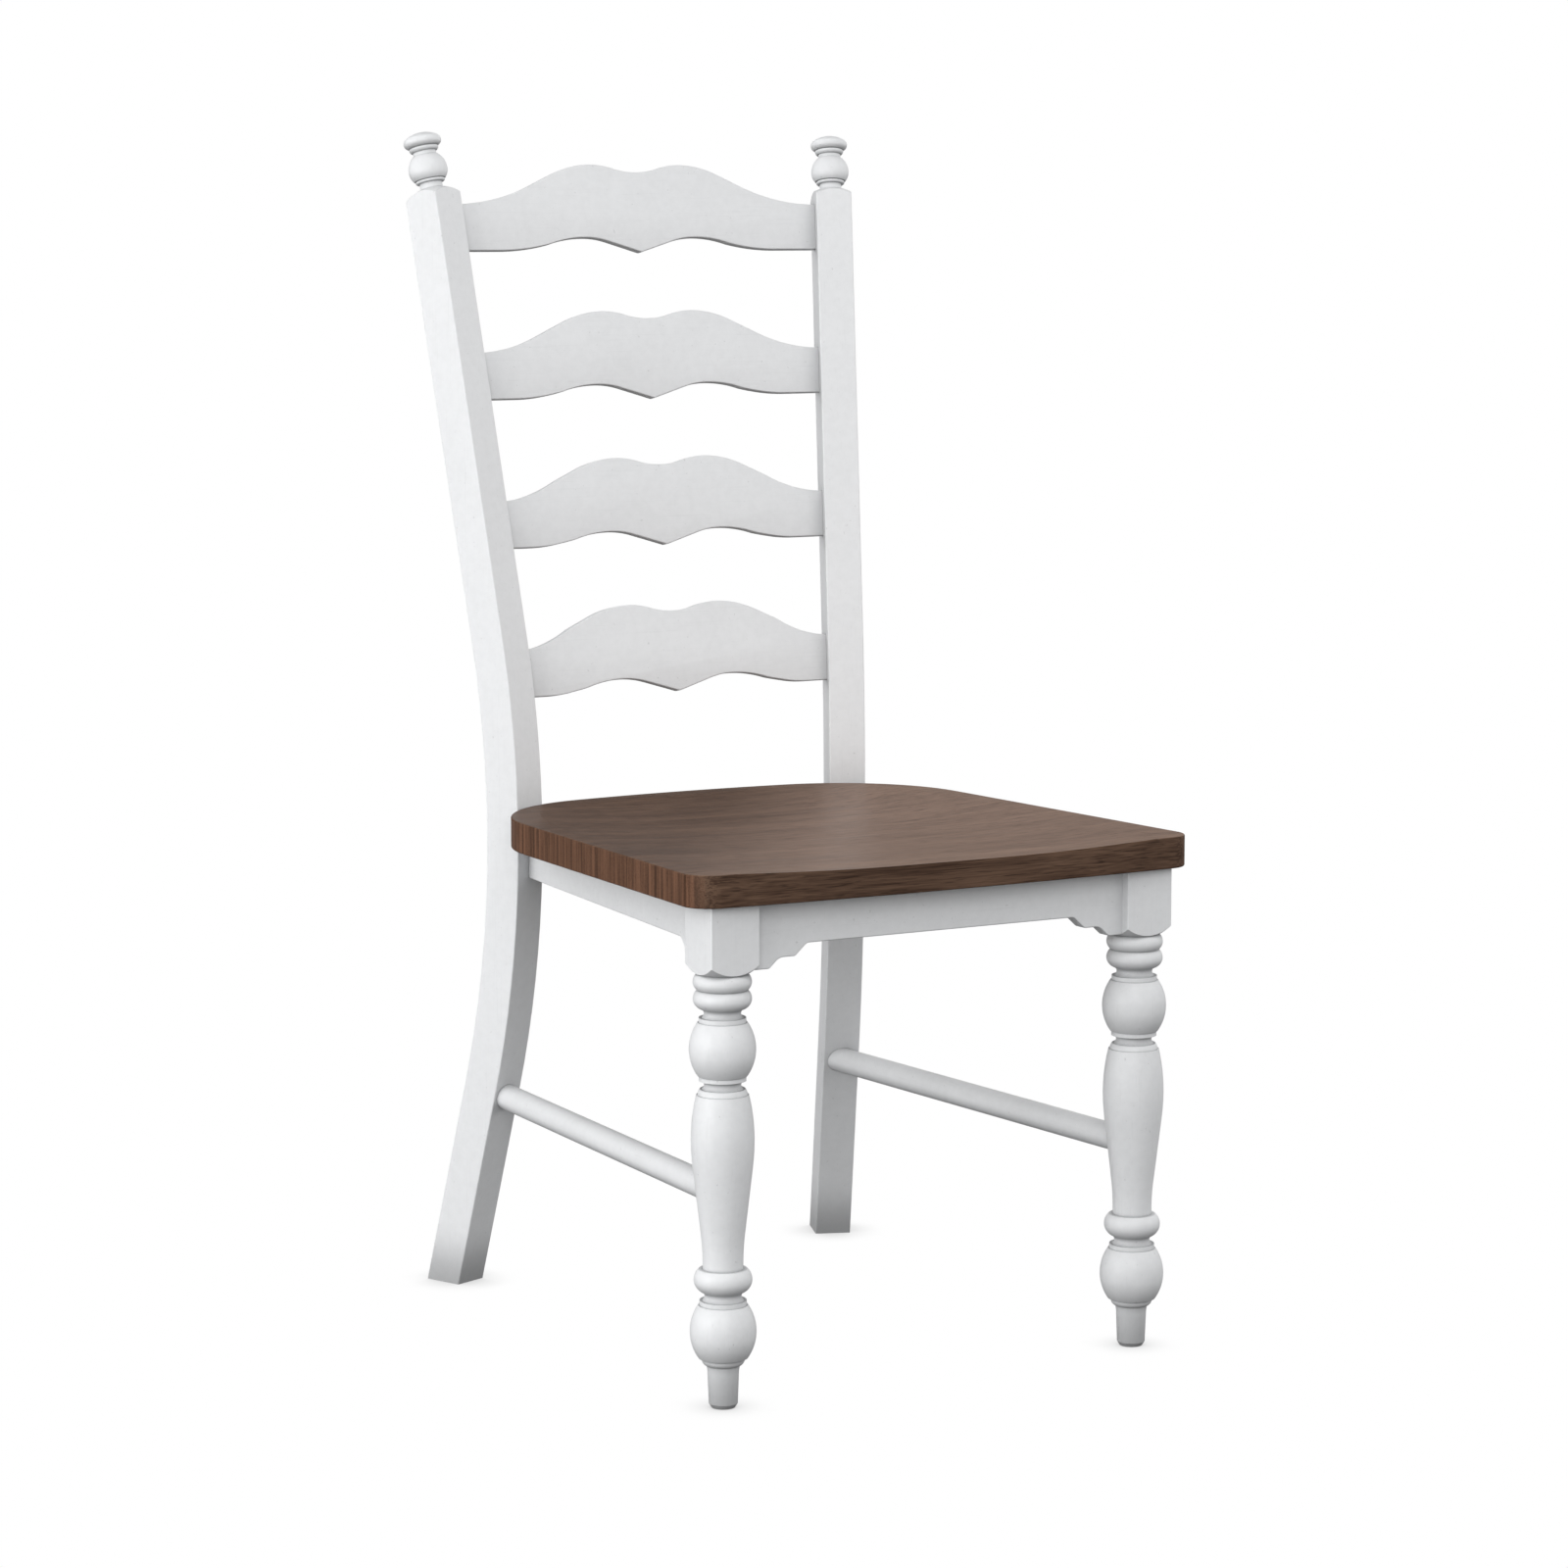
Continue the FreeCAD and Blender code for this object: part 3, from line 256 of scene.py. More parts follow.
class Tree:
    """Adds nodes to a tree; an input is a socket to link or a value to set."""

    def __init__(self, tree):
        self.tree = tree

    def node(self, kind, inputs=None, **settings):
        node = self.tree.nodes.new(kind)
        for name, value in settings.items():
            setattr(node, name, value)
        for key, value in (inputs or {}).items():
            self.put(value, node.inputs[key])
        return node

    def put(self, value, socket):
        if isinstance(value, bpy.types.NodeSocket):
            self.tree.links.new(value, socket)
        else:
            socket.default_value = value

    def maths(self, operation, a, b=0.0):
        return self.node("ShaderNodeMath", {0: a, 1: b}, operation=operation).outputs[0]

    def product(self, first, *others):
        for other in others:
            first = self.maths("MULTIPLY", first, other)
        return first

    def remap(self, value, low, high, to_low=0.0, to_high=1.0, curve="LINEAR"):
        return self.node("ShaderNodeMapRange", {
            "Value": value, "From Min": low, "From Max": high,
            "To Min": to_low, "To Max": to_high},
            interpolation_type=curve).outputs["Result"]

    def mix(self, factor, a, b, blend="MIX"):
        node = self.node("ShaderNodeMix", data_type="RGBA", blend_type=blend)
        self.put(factor, node.inputs[0])
        self.put(a, node.inputs[6])
        self.put(b, node.inputs[7])
        return node.outputs[2]

    def axes(self, vector):
        return self.node("ShaderNodeSeparateXYZ", {"Vector": vector}).outputs

    def place(self):
        return self.node("ShaderNodeTexCoord").outputs["Object"]

    def facing(self):
        """The surface's own direction, split by axis."""
        return self.axes(self.node("ShaderNodeNewGeometry").outputs["Normal"])

    def open_air(self, reach, samples=8, alone=False):
        """Share of open air round a point; alone leaves out the other objects."""
        return self.node("ShaderNodeAmbientOcclusion", {"Distance": reach},
                         samples=samples, only_local=alone).outputs["AO"]

    def noise(self, place, scale, detail=2.0, roughness=0.5, distortion=0.0):
        """Noise whose scale is in waves to the metre along each axis."""
        stretched = self.node("ShaderNodeMapping", {"Vector": place, "Scale": scale})
        return self.node("ShaderNodeTexNoise", {
            "Vector": stretched.outputs["Vector"], "Scale": 1.0, "Detail": detail,
            "Roughness": roughness, "Distortion": distortion}).outputs["Fac"]

    def bump(self, height, strength, depth, arris=0.0):
        """Normal roughened by a height; arrises shade round at a radius above zero."""
        inputs = {"Strength": strength, "Distance": depth, "Height": height}
        if arris > 0.0:
            inputs["Normal"] = self.node(
                "ShaderNodeBevel", {"Radius": arris}, samples=4).outputs["Normal"]
        return self.node("ShaderNodeBump", inputs).outputs["Normal"]


def opaque(rgb, strength=1.0):
    return (*(value * strength for value in rgb), 1.0)


def new_material(name):
    material = bpy.data.materials.new(name)
    material.use_nodes = True
    material.node_tree.nodes.clear()
    return material, Tree(material.node_tree)


def finish(tree, tint, roughness, normal, more=None):
    """Lead a tint, a roughness and a normal through one shader to the surface."""
    shader = tree.node("ShaderNodeBsdfPrincipled", {
        "Base Color": tint, "Roughness": roughness, "Normal": normal, **(more or {})})
    tree.node("ShaderNodeOutputMaterial", {"Surface": shader.outputs["BSDF"]})


def satin_paint(name, along, turned=False):
    """White paint; the grain runs along an axis, and turned work has faint lathe lines."""
    paint = bpy.context.scene.chair_paint
    material, tree = new_material(name)
    place = tree.place()
    fine, coarse = [520.0] * 3, [90.0] * 3
    fine[along], coarse[along] = 14.0, 5.0
    fibre = tree.noise(place, fine, 3.0, 0.6)
    figure = tree.noise(place, coarse, 2.0, 0.5, 0.4)
    brush = tree.noise(place, (16.0, 16.0, 9.0), 3.0, 0.55)
    mottle = tree.noise(place, [130.0] * 3, 4.0, 0.65)
    speck = tree.noise(place, [310.0] * 3, 1.0)

    shade = tree.product(
        tree.remap(brush, 0.30, 0.70, 0.975, 1.0),
        tree.remap(mottle, 0.34, 0.62, 0.965, 1.0),
        tree.remap(speck, 0.74, 0.80, 1.0, 0.84),
        tree.remap(fibre, 0.30, 0.42, 0.97, 1.0))
    # Painted shade: darker where other parts are near, at the joints
    painted_joint_shade = tree.remap(tree.open_air(paint.joint_reach), *JOINT_AIR,
                       1.0 - paint.joint_shade, 1.0)
    # Painted shade: faces that look down are painted darker
    painted_underside_shade = tree.remap(tree.facing()["Z"], *LOOKS_DOWN, 1.0 - paint.underside_shade, 1.0)
    # Painted shade: the feet are painted darker towards the floor
    painted_foot_shade = tree.remap(tree.axes(place)["Z"], 0.0, paint.foot_shade_height,
                         1.0 - paint.foot_shade, 1.0, "SMOOTHSTEP")
    # Painted shade: darker towards the hollow tint in grooves and under beads and balls, where
    # little open air is near
    hollow = tree.remap(tree.open_air(paint.groove_reach, alone=True), *GROOVE_AIR)
    base = tree.mix(hollow, opaque(paint.groove_shade_tint), opaque(paint.tint))
    base = tree.mix(1.0, base, tree.product(shade, painted_joint_shade, painted_underside_shade, painted_foot_shade), "MULTIPLY")

    height = tree.maths("ADD", tree.product(fibre, 0.5), tree.product(figure, 0.5))
    if turned:
        lathe = tree.noise(place, (3.0, 3.0, 900.0), 1.0)
        height = tree.maths("ADD", height, tree.product(lathe, 0.45))
    roughness = tree.remap(brush, 0.25, 0.75, paint.roughness - 0.05, paint.roughness + 0.06)
    finish(tree, base, roughness,
           tree.bump(height, paint.grain, paint.grain_depth, paint.arris))
    return material


def board_shift(tree, place, lot):
    """Object place moved along and into the wood by a board's own lot."""
    jump = tree.node("ShaderNodeCombineXYZ", {
        "X": tree.product(lot, 3.0), "Z": tree.product(lot, 0.7)})
    return tree.node("ShaderNodeVectorMath", {
        0: place, 1: jump.outputs["Vector"]}, operation="ADD").outputs["Vector"]


def painted_sheen_part(tree, place, cloud):
    """How much painted light and sheen the lacquer gets: most at the front right of the seat's
    top.
    """
    axes = tree.axes(place)
    across = tree.maths("ADD", tree.product(axes["X"], SHEEN_WAY[0]),
                        tree.product(axes["Y"], SHEEN_WAY[1]))
    uneven = tree.maths("ADD", across, tree.product(cloud, 0.03))
    sheen_share = tree.remap(uneven, *SHEEN_EDGE, SHEEN_LEAST, 1.0, "SMOOTHSTEP")
    return tree.product(sheen_share, tree.remap(tree.facing()["Z"], *LOOKS_UP))


def end_grain(tree, place, tint):
    """Rays and spots of the sawn ends."""
    ray = tree.noise(place, (60.0, 230.0, 7.0), 4.0, 0.62)
    spot = tree.noise(place, (60.0, 950.0, 700.0), 1.0)
    tone = tree.remap(tree.maths("ADD", tree.product(ray, 0.8), tree.product(spot, 0.2)),
                      0.39, 0.61)
    return tree.mix(tone, opaque(tint, DARK_END_GRAIN), opaque(tint, LIGHT_GRAIN))


def stained_seat():
    """Brown stain under satin lacquer; boards run across the seat, end grain at its sides."""
    stain = bpy.context.scene.chair_stain
    material, tree = new_material("stained_seat")
    place = tree.place()
    behind = tree.maths("SUBTRACT", tree.axes(place)["Y"], BOARD_START)
    board = tree.maths("FLOOR", tree.maths("DIVIDE", behind, stain.board_width))
    lot = tree.node("ShaderNodeTexWhiteNoise", {"W": board},
                    noise_dimensions="1D").outputs["Value"]
    shifted = board_shift(tree, place, lot)
    figure = tree.noise(shifted, (2.2, 34.0, 34.0), 6.0, 0.62, 0.6)
    streak = tree.noise(shifted, (5.0, 150.0, 150.0), 4.0, 0.6)
    fibre = tree.noise(shifted, (16.0, 760.0, 760.0), 2.0, 0.5)
    pore = tree.noise(shifted, (42.0, 900.0, 900.0), 1.0, 0.4)
    cloud = tree.noise(place, (5.0, 9.0, 5.0), 2.0)

    tone = tree.maths("ADD", tree.product(tree.remap(figure, 0.34, 0.66), 0.34),
                      tree.product(tree.remap(streak, 0.36, 0.64), 0.34))
    tone = tree.maths("ADD", tone, tree.product(tree.remap(fibre, 0.36, 0.64), 0.36))
    face = tree.mix(tone, opaque(stain.dark_tint), opaque(stain.tint, LIGHT_GRAIN))
    drift = tree.remap(tree.maths("ADD", cloud, tree.product(lot, 0.25)),
                       0.30, 0.90, 0.92, 1.08)
    face = tree.mix(1.0, face, drift, "MULTIPLY")
    # Painted light and sheen: the front right of the top drifts towards a lighter tint
    sheen_tone = tree.mix(1.0, opaque(stain.sheen_tint),
                    tree.remap(tone, 0.20, 0.80, 0.86, 1.12), "MULTIPLY")
    sheen_share = painted_sheen_part(tree, place, cloud)
    face = tree.mix(tree.product(sheen_share, stain.sheen), face, sheen_tone)
    open_pore = tree.remap(pore, 0.30, 0.42)
    face = tree.mix(1.0, face, tree.remap(open_pore, 0.0, 1.0, 0.55, 1.0), "MULTIPLY")

    sideways = tree.maths("ABSOLUTE", tree.facing()["X"])
    base = tree.mix(tree.remap(sideways, *LOOKS_SIDEWAYS), face,
                    end_grain(tree, place, stain.end_tint))
    height = tree.maths("ADD", tree.product(fibre, 0.35), tree.product(open_pore, 0.5))
    roughness = tree.remap(streak, 0.25, 0.75, stain.roughness - 0.05, stain.roughness + 0.07)
    finish(tree, base, roughness,
           tree.bump(height, stain.grain, stain.grain_depth, stain.arris),
           {"Specular IOR Level": stain.shine})
    return material


def sawn_wood():
    """Bare pale wood of the corner blocks and dowels."""
    material, tree = new_material("sawn_wood")
    place = tree.place()
    ring = tree.noise(place, (30.0, 30.0, 120.0), 4.0, 0.6, 0.8)
    fibre = tree.noise(place, (60.0, 60.0, 800.0), 2.0)
    saw = tree.noise(place, (420.0, 420.0, 12.0), 1.0)
    base = tree.mix(tree.remap(ring, 0.32, 0.68),
                    opaque((0.50, 0.33, 0.17)), opaque((0.66, 0.49, 0.29)))
    base = tree.mix(1.0, base, tree.remap(fibre, 0.30, 0.70, 0.86, 1.04), "MULTIPLY")
    height = tree.maths("ADD", fibre, tree.product(saw, 0.8))
    finish(tree, base, tree.remap(ring, 0.30, 0.70, 0.66, 0.80),
           tree.bump(height, 0.3, 0.0004))
    return material


def zinc_steel():
    """Zinc plate with faint mottling on the screws."""
    metal = bpy.context.scene.chair_screws.metal
    material, tree = new_material("zinc_steel")
    spangle = tree.noise(tree.place(), [900.0] * 3, 3.0)
    base = tree.mix(tree.remap(spangle, 0.30, 0.70), opaque(metal, 0.8), opaque(metal))
    finish(tree, base, tree.remap(spangle, 0.30, 0.70, 0.28, 0.42),
           tree.bump(spangle, 0.12, 0.0001), {"Metallic": 1.0})
    return material


def dress(names, material):
    for name in names:
        slots = NODES[name].data.materials
        slots.clear()
        slots.append(material)


# Meshes

def arc_points(points, heading, end):
    """Continue a line by an arc that leaves at a heading and ends at a point."""
    start = points[-1]
    chord = Vector(end) - Vector(start)
    turn = math.atan2(chord.y, chord.x) - heading
    turn = (turn + math.pi) % (2 * math.pi) - math.pi
    if abs(turn) < STRAIGHT:
        points.append(end)
        return
    radius = chord.length / (2 * math.sin(turn))
    for step in range(1, ARC_STEPS + 1):
        half_swept = turn * step / ARC_STEPS
        reach = 2 * radius * math.sin(half_swept)
        points.append((start[0] + reach * math.cos(heading + half_swept),
                       start[1] + reach * math.sin(heading + half_swept)))


def arc_arriving(points, heading, end):
    """Continue a line by an arc that reaches a point at a heading."""
    start = points[-1]
    chord = math.atan2(end[1] - start[1], end[0] - start[0])
    arc_points(points, 2 * chord - heading, end)


def slat_outline(reach):
    """Right half of a slat's outline, from the dip in the upper edge round to the point."""
    size = bpy.context.scene.chair_slats
    drop = (size.tail_start - size.hump) * math.tan(size.tail_angle / 2)
    foot = drop + (size.tail_end - size.tail_start) * math.tan(size.tail_angle)
    low = size.flat_rise - size.height
    crest = size.crest_rise - size.height
    rise = math.tan(size.point_angle)
    half_rise = math.tan(size.point_angle / 2)
    run = (size.crest_rise - size.crest * half_rise) / (rise - half_rise)
    hollow = size.crest + (size.flat - size.crest) * HOLLOW_TURN

    points = [(0.0, -size.dip)]
    arc_points(points, 0.0, (size.hump / 2, -size.dip / 2))
    arc_arriving(points, 0.0, (size.hump, 0.0))
    arc_points(points, 0.0, (size.tail_start, -drop))
    points.append((size.tail_end, -foot))
    arc_points(points, -size.tail_angle, (reach - size.tenon, -size.end_drop))
    points += [(reach, -size.end_drop), (reach, low), (size.flat, low)]
    arc_points(points, math.pi, (hollow, (crest + low) / 2))
    arc_arriving(points, math.pi, (size.crest, crest))
    arc_points(points, math.pi, (run, run * rise - size.height))
    points.append((0.0, -size.height))
    return points


def mesh_object(name, mesh):
    piece = bpy.data.objects.new(name, mesh)
    bpy.context.scene.collection.objects.link(piece)
    return piece


def shape_object(name, shape):
    """A closed shape as an object, with its faces turned outward."""
    bmesh.ops.recalc_face_normals(shape, faces=shape.faces)
    mesh = bpy.data.meshes.new(name)
    shape.to_mesh(mesh)
    shape.free()
    return mesh_object(name, mesh)


def slat_blank(reach):
    """One slat standing at the origin, its front face at y = 0 and its hump line at z = 0."""
    size = bpy.context.scene.chair_slats
    half = slat_outline(reach)
    outline = half + [(-x, z) for x, z in reversed(half[1:-1])]
    shape = bmesh.new()
    face = shape.faces.new([shape.verts.new((x, 0.0, z)) for x, z in outline])
    grown = bmesh.ops.extrude_face_region(shape, geom=[face])
    moved = [v for v in grown["geom"] if isinstance(v, bmesh.types.BMVert)]
    bmesh.ops.translate(shape, verts=moved, vec=(0.0, size.thickness, 0.0))
    piece = shape_object("slat_blank", shape)
    edge = piece.modifiers.new("arris", "BEVEL")
    edge.width = size.arris
    edge.segments = ARRIS_STEPS
    edge.limit_method = "ANGLE"
    edge.angle_limit = math.radians(ARRIS_ANGLE)
    return piece


def new_group(name, inputs):
    """Geometry tree with named inputs, and the identifier of each."""
    group = bpy.data.node_groups.new(name, "GeometryNodeTree")
    for way in ("INPUT", "OUTPUT"):
        group.interface.new_socket("Geometry", in_out=way, socket_type="NodeSocketGeometry")
    sockets = {}
    for key, (kind, default) in inputs.items():
        socket = group.interface.new_socket(key, in_out="INPUT", socket_type=kind)
        socket.default_value = default
        sockets[key] = socket.identifier
    return Tree(group), sockets


def smooth_by_angle(tree, geometry, degrees):
    """Smooth faces, with edges kept sharp where they turn by more than an angle."""
    smooth = tree.node("GeometryNodeSetShadeSmooth", {
        "Geometry": geometry, "Shade Smooth": True}, domain="FACE")
    bend = tree.node("GeometryNodeInputMeshEdgeAngle").outputs["Unsigned Angle"]
    sharp = tree.node("FunctionNodeCompare", {"A": bend, "B": math.radians(degrees)},
                      data_type="FLOAT", operation="GREATER_THAN")
    return tree.node("GeometryNodeSetShadeSmooth", {
        "Geometry": smooth.outputs["Geometry"], "Selection": sharp.outputs["Result"],
        "Shade Smooth": False}, domain="EDGE").outputs["Geometry"]


def coat(tree, geometry, material):
    """Give the tree's geometry its material and send it out."""
    coated = tree.node("GeometryNodeSetMaterial", {"Geometry": geometry, "Material": material})
    tree.node("NodeGroupOutput", {"Geometry": coated.outputs["Geometry"]})


def applied(piece, name):
    """The evaluated piece as a plain mesh object at the origin; the first one goes."""
    bpy.context.view_layer.update()
    graph = bpy.context.evaluated_depsgraph_get()
    mesh = bpy.data.meshes.new_from_object(
        piece.evaluated_get(graph), preserve_all_data_layers=True, depsgraph=graph)
    mesh.name = name
    bpy.data.objects.remove(piece)
    return mesh_object(name, mesh)


def grow(name, mesh, tree, sockets, values):
    """The piece that a tree makes of a mesh: its inputs are set, then it is applied."""
    piece = mesh_object(name + "_tree", mesh)
    modifier = piece.modifiers.new(name, "NODES")
    modifier.node_group = tree.tree
    for key, value in values.items():
        modifier[sockets[key]] = value
    return applied(piece, name)


def ladder_tree(blank, material):
    """Slats up the back: copies at a pitch, leaning back, with their tails cut to the posts."""
    tree, sockets = new_group("ladder", {
        "Count": ("NodeSocketInt", 4),
        "Top": ("NodeSocketVector", (0.0, 0.0, 0.0)),
        "Step": ("NodeSocketVector", (0.0, 0.0, 0.0)),
        "Lean": ("NodeSocketFloat", 0.0),
        "Tail start": ("NodeSocketFloat", 0.1),
        "Taper": ("NodeSocketFloat", 0.0)})
    given = tree.node("NodeGroupInput").outputs
    line = tree.node("GeometryNodeMeshLine", {
        "Count": given["Count"], "Start Location": given["Top"], "Offset": given["Step"]})
    lean = tree.node("ShaderNodeCombineXYZ", {"X": given["Lean"]}).outputs["Vector"]
    turn = tree.node("FunctionNodeEulerToRotation", {"Euler": lean}).outputs["Rotation"]
    source = tree.node("GeometryNodeObjectInfo", {"Object": blank}, transform_space="ORIGINAL")
    placed = tree.node("GeometryNodeInstanceOnPoints", {
        "Points": line.outputs["Mesh"], "Instance": source.outputs["Geometry"],
        "Rotation": turn})
    order = tree.node("GeometryNodeStoreNamedAttribute", {
        "Geometry": placed.outputs["Instances"], "Name": "order",
        "Value": tree.node("GeometryNodeInputIndex").outputs["Index"]},
        data_type="INT", domain="INSTANCE")
    real = tree.node("GeometryNodeRealizeInstances", {"Geometry": order.outputs["Geometry"]})

    x = tree.axes(tree.node("GeometryNodeInputPosition").outputs["Position"])["X"]
    past = tree.maths("MAXIMUM", tree.maths(
        "SUBTRACT", tree.maths("ABSOLUTE", x), given["Tail start"]), 0.0)
    number = tree.node("GeometryNodeInputNamedAttribute", {"Name": "order"}, data_type="INT")
    share = tree.product(number.outputs["Attribute"], given["Taper"])
    pull = tree.product(past, share, tree.maths("SIGN", x), -1.0)
    offset = tree.node("ShaderNodeCombineXYZ", {"X": pull})
    cut = tree.node("GeometryNodeSetPosition", {
        "Geometry": real.outputs["Geometry"], "Offset": offset.outputs["Vector"]})
    coat(tree, smooth_by_angle(tree, cut.outputs["Geometry"], SLAT_SMOOTH), material)
    return tree, sockets


def head_blank():
    """Pan head, bearing face at z = 0 and crown below it."""
    size = bpy.context.scene.chair_screws
    shape = bmesh.new()
    profile = [(0.0, 0.0), (size.head, 0.0), (size.head, -size.head_height * HEAD_RIM)]
    for step in range(1, HEAD_RINGS):
        turn = math.pi / 2 * step / HEAD_RINGS
        out = HEAD_CROWN + (1 - HEAD_CROWN) * math.cos(turn)
        down = HEAD_RIM + (1 - HEAD_RIM) * math.sin(turn)
        profile.append((size.head * out, -size.head_height * down))
    profile.append((0.0, -size.head_height))
    verts = [shape.verts.new((r, 0.0, z)) for r, z in profile]
    edges = [shape.edges.new(pair) for pair in zip(verts, verts[1:])]
    bmesh.ops.spin(shape, geom=verts + edges, axis=(0, 0, 1), cent=(0, 0, 0),
                   steps=HEAD_SIDES, angle=2 * math.pi, use_duplicate=False)
    bmesh.ops.remove_doubles(shape, verts=shape.verts, dist=SAME_POINT)
    return shape_object("screw_head", shape)


def screw_head():
    """Pan head with a cross slot."""
    size = bpy.context.scene.chair_screws
    head = head_blank()
    cutters = []
    for turn in (0.0, math.pi / 2):
        shape = bmesh.new()
        bmesh.ops.create_cube(shape, size=1.0)
        bmesh.ops.scale(shape, verts=shape.verts, vec=(
            size.head * SLOT_LENGTH, size.slot, 2 * size.head_height * SLOT_DEPTH))
        bmesh.ops.rotate(shape, verts=shape.verts, cent=(0, 0, 0),
                         matrix=Matrix.Rotation(turn, 3, "Z"))
        bmesh.ops.translate(shape, verts=shape.verts, vec=(0, 0, -size.head_height))
        cutters.append(shape_object("slot_cutter", shape))
        cut = head.modifiers.new("slot", "BOOLEAN")
        cut.operation = "DIFFERENCE"
        cut.solver = "EXACT"
        cut.object = cutters[-1]
    made = applied(head, "screw_head_cut")
    for cutter in cutters:
        bpy.data.objects.remove(cutter)
    return made


def loose_parts(mesh):
    """Points of each connected part of a mesh, always in the same order."""
    shape = bmesh.new()
    shape.from_mesh(mesh)
    bmesh.ops.remove_doubles(shape, verts=shape.verts, dist=SAME_POINT)
    shape.verts.index_update()
    parts, known = [], set()
    for seed in shape.verts:
        if seed.index in known:
            continue
        known.add(seed.index)
        part, edge = [], [seed]
        while edge:
            vert = edge.pop()
            part.append(vert.co.copy())
            for link in vert.link_edges:
                other = link.other_vert(vert)
                if other.index not in known:
                    known.add(other.index)
                    edge.append(other)
        parts.append(part)
    shape.free()
    return parts


def screw_place(points):
    """Bearing point, driving direction and shank length of one screw, from its points."""
    size = bpy.context.scene.chair_screws
    centre = sum(points, Vector()) / len(points)
    farthest = max((point - centre).length for point in points)
    tip = [point for point in points if (point - centre).length > farthest - SAME_RING]
    axis = (sum(tip, Vector()) / len(tip) - centre).normalized()
    along = [(point - centre).dot(axis) for point in points]
    wide = [(point - centre - axis * t).length for point, t in zip(points, along)]
    head = [t for t, w in zip(along, wide) if w > (size.head + size.shank) / 2]
    if sum(head) > 0:
        axis = -axis
        along = [-t for t in along]
        head = [-t for t in head]
    return centre + axis * max(head), axis, max(along) - max(head)


def screw_tree(head, material):
    """A screw on each point of a mesh, turned to the point's own direction."""
    tree, sockets = new_group("screws", {
        "Shank radius": ("NodeSocketFloat", 0.002),
        "Shank length": ("NodeSocketFloat", 0.02)})
    given = tree.node("NodeGroupInput").outputs
    shank = tree.node("GeometryNodeMeshCylinder", {
        "Vertices": SHANK_SIDES, "Radius": given["Shank radius"],
        "Depth": given["Shank length"]})
    middle = tree.node("ShaderNodeCombineXYZ", {"Z": tree.product(given["Shank length"], 0.5)})
    raised = tree.node("GeometryNodeTransform", {
        "Geometry": shank.outputs["Mesh"], "Translation": middle.outputs["Vector"]})
    source = tree.node("GeometryNodeObjectInfo", {"Object": head}, transform_space="ORIGINAL")
    whole = tree.node("GeometryNodeJoinGeometry")
    for part in (source, raised):
        tree.put(part.outputs["Geometry"], whole.inputs["Geometry"])
    way = tree.node("GeometryNodeInputNamedAttribute", {"Name": "way"}, data_type="FLOAT_VECTOR")
    turn = tree.node("FunctionNodeAlignRotationToVector", {
        "Vector": way.outputs["Attribute"]}, axis="Z")
    placed = tree.node("GeometryNodeInstanceOnPoints", {
        "Points": given["Geometry"], "Instance": whole.outputs["Geometry"],
        "Rotation": turn.outputs["Rotation"]})
    real = tree.node("GeometryNodeRealizeInstances", {
        "Geometry": placed.outputs["Instances"]})
    coat(tree, smooth_by_angle(tree, real.outputs["Geometry"], SCREW_SMOOTH), material)
    return tree, sockets


# Operators

class ChairOperator:
    """Shared settings of the chair's operators"""

    bl_options = {"REGISTER", "UNDO"}


class CHAIR_OT_front_legs(ChairOperator, bpy.types.Operator):
    """Paint the turned front legs"""

    bl_idname = "chair.front_legs"
    bl_label = "Front legs"

    def execute(self, context):
        dress(LEGS, satin_paint("painted_turning", GRAIN_Z, turned=True))
        return {"FINISHED"}


class CHAIR_OT_posts(ChairOperator, bpy.types.Operator):
    """Paint the rear posts and their finials"""

    bl_idname = "chair.posts"
    bl_label = "Rear posts and finials"

    def execute(self, context):
        dress(POSTS, satin_paint("painted_post", GRAIN_Z))
        dress(FINIALS, satin_paint("painted_finial", GRAIN_Z, turned=True))
        return {"FINISHED"}


class CHAIR_OT_slats(ChairOperator, bpy.types.Operator):
    """Set the shaped slats up the back, between the posts"""

    bl_idname = "chair.slats"
    bl_label = "Slats"

    def execute(self, context):
        size = context.scene.chair_slats
        top_low, top_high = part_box("slat_top")
        bottom_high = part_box("slat_bottom")[1]
        steps = len(SLATS) - 1
        shrink = (top_high.x - bottom_high.x) / steps
        run = (top_high.y - bottom_high.y) / steps
        lean = math.atan2(run, size.pitch)
        reach = top_high.x
        blank = slat_blank(reach)
        tree, sockets = ladder_tree(blank, satin_paint("painted_slat", GRAIN_X))
        slats = grow("slats", bpy.data.meshes.new("slats_tree"), tree, sockets, {
            "Count": size.count,
            "Top": (0.0, top_low.y + size.height * math.sin(lean), top_high.z),
            "Step": (0.0, -run, -size.pitch),
            "Lean": -lean,
            "Tail start": size.tail_end,
            "Taper": shrink / (reach - size.tail_end)})
        bpy.data.objects.remove(blank)
        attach(slats, "root")
        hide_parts(*SLATS)
        return {"FINISHED"}


class CHAIR_OT_rails(ChairOperator, bpy.types.Operator):
    """Paint the seat rails and the stretchers"""

    bl_idname = "chair.rails"
    bl_label = "Rails and stretchers"

    def execute(self, context):
        dress(ACROSS, satin_paint("painted_rail", GRAIN_X))
        dress(FLANK + STRETCHERS, satin_paint("painted_flank", GRAIN_Y))
        return {"FINISHED"}


class CHAIR_OT_seat(ChairOperator, bpy.types.Operator):
    """Stain and lacquer the seat"""

    bl_idname = "chair.seat"
    bl_label = "Seat"

    def execute(self, context):
        dress(("seat",), stained_seat())
        return {"FINISHED"}


class CHAIR_OT_blocks(ChairOperator, bpy.types.Operator):
    """Leave the corner blocks and dowels bare"""

    bl_idname = "chair.blocks"
    bl_label = "Corner blocks and dowels"

    def execute(self, context):
        dress(BLOCKS + DOWELS, sawn_wood())
        return {"FINISHED"}


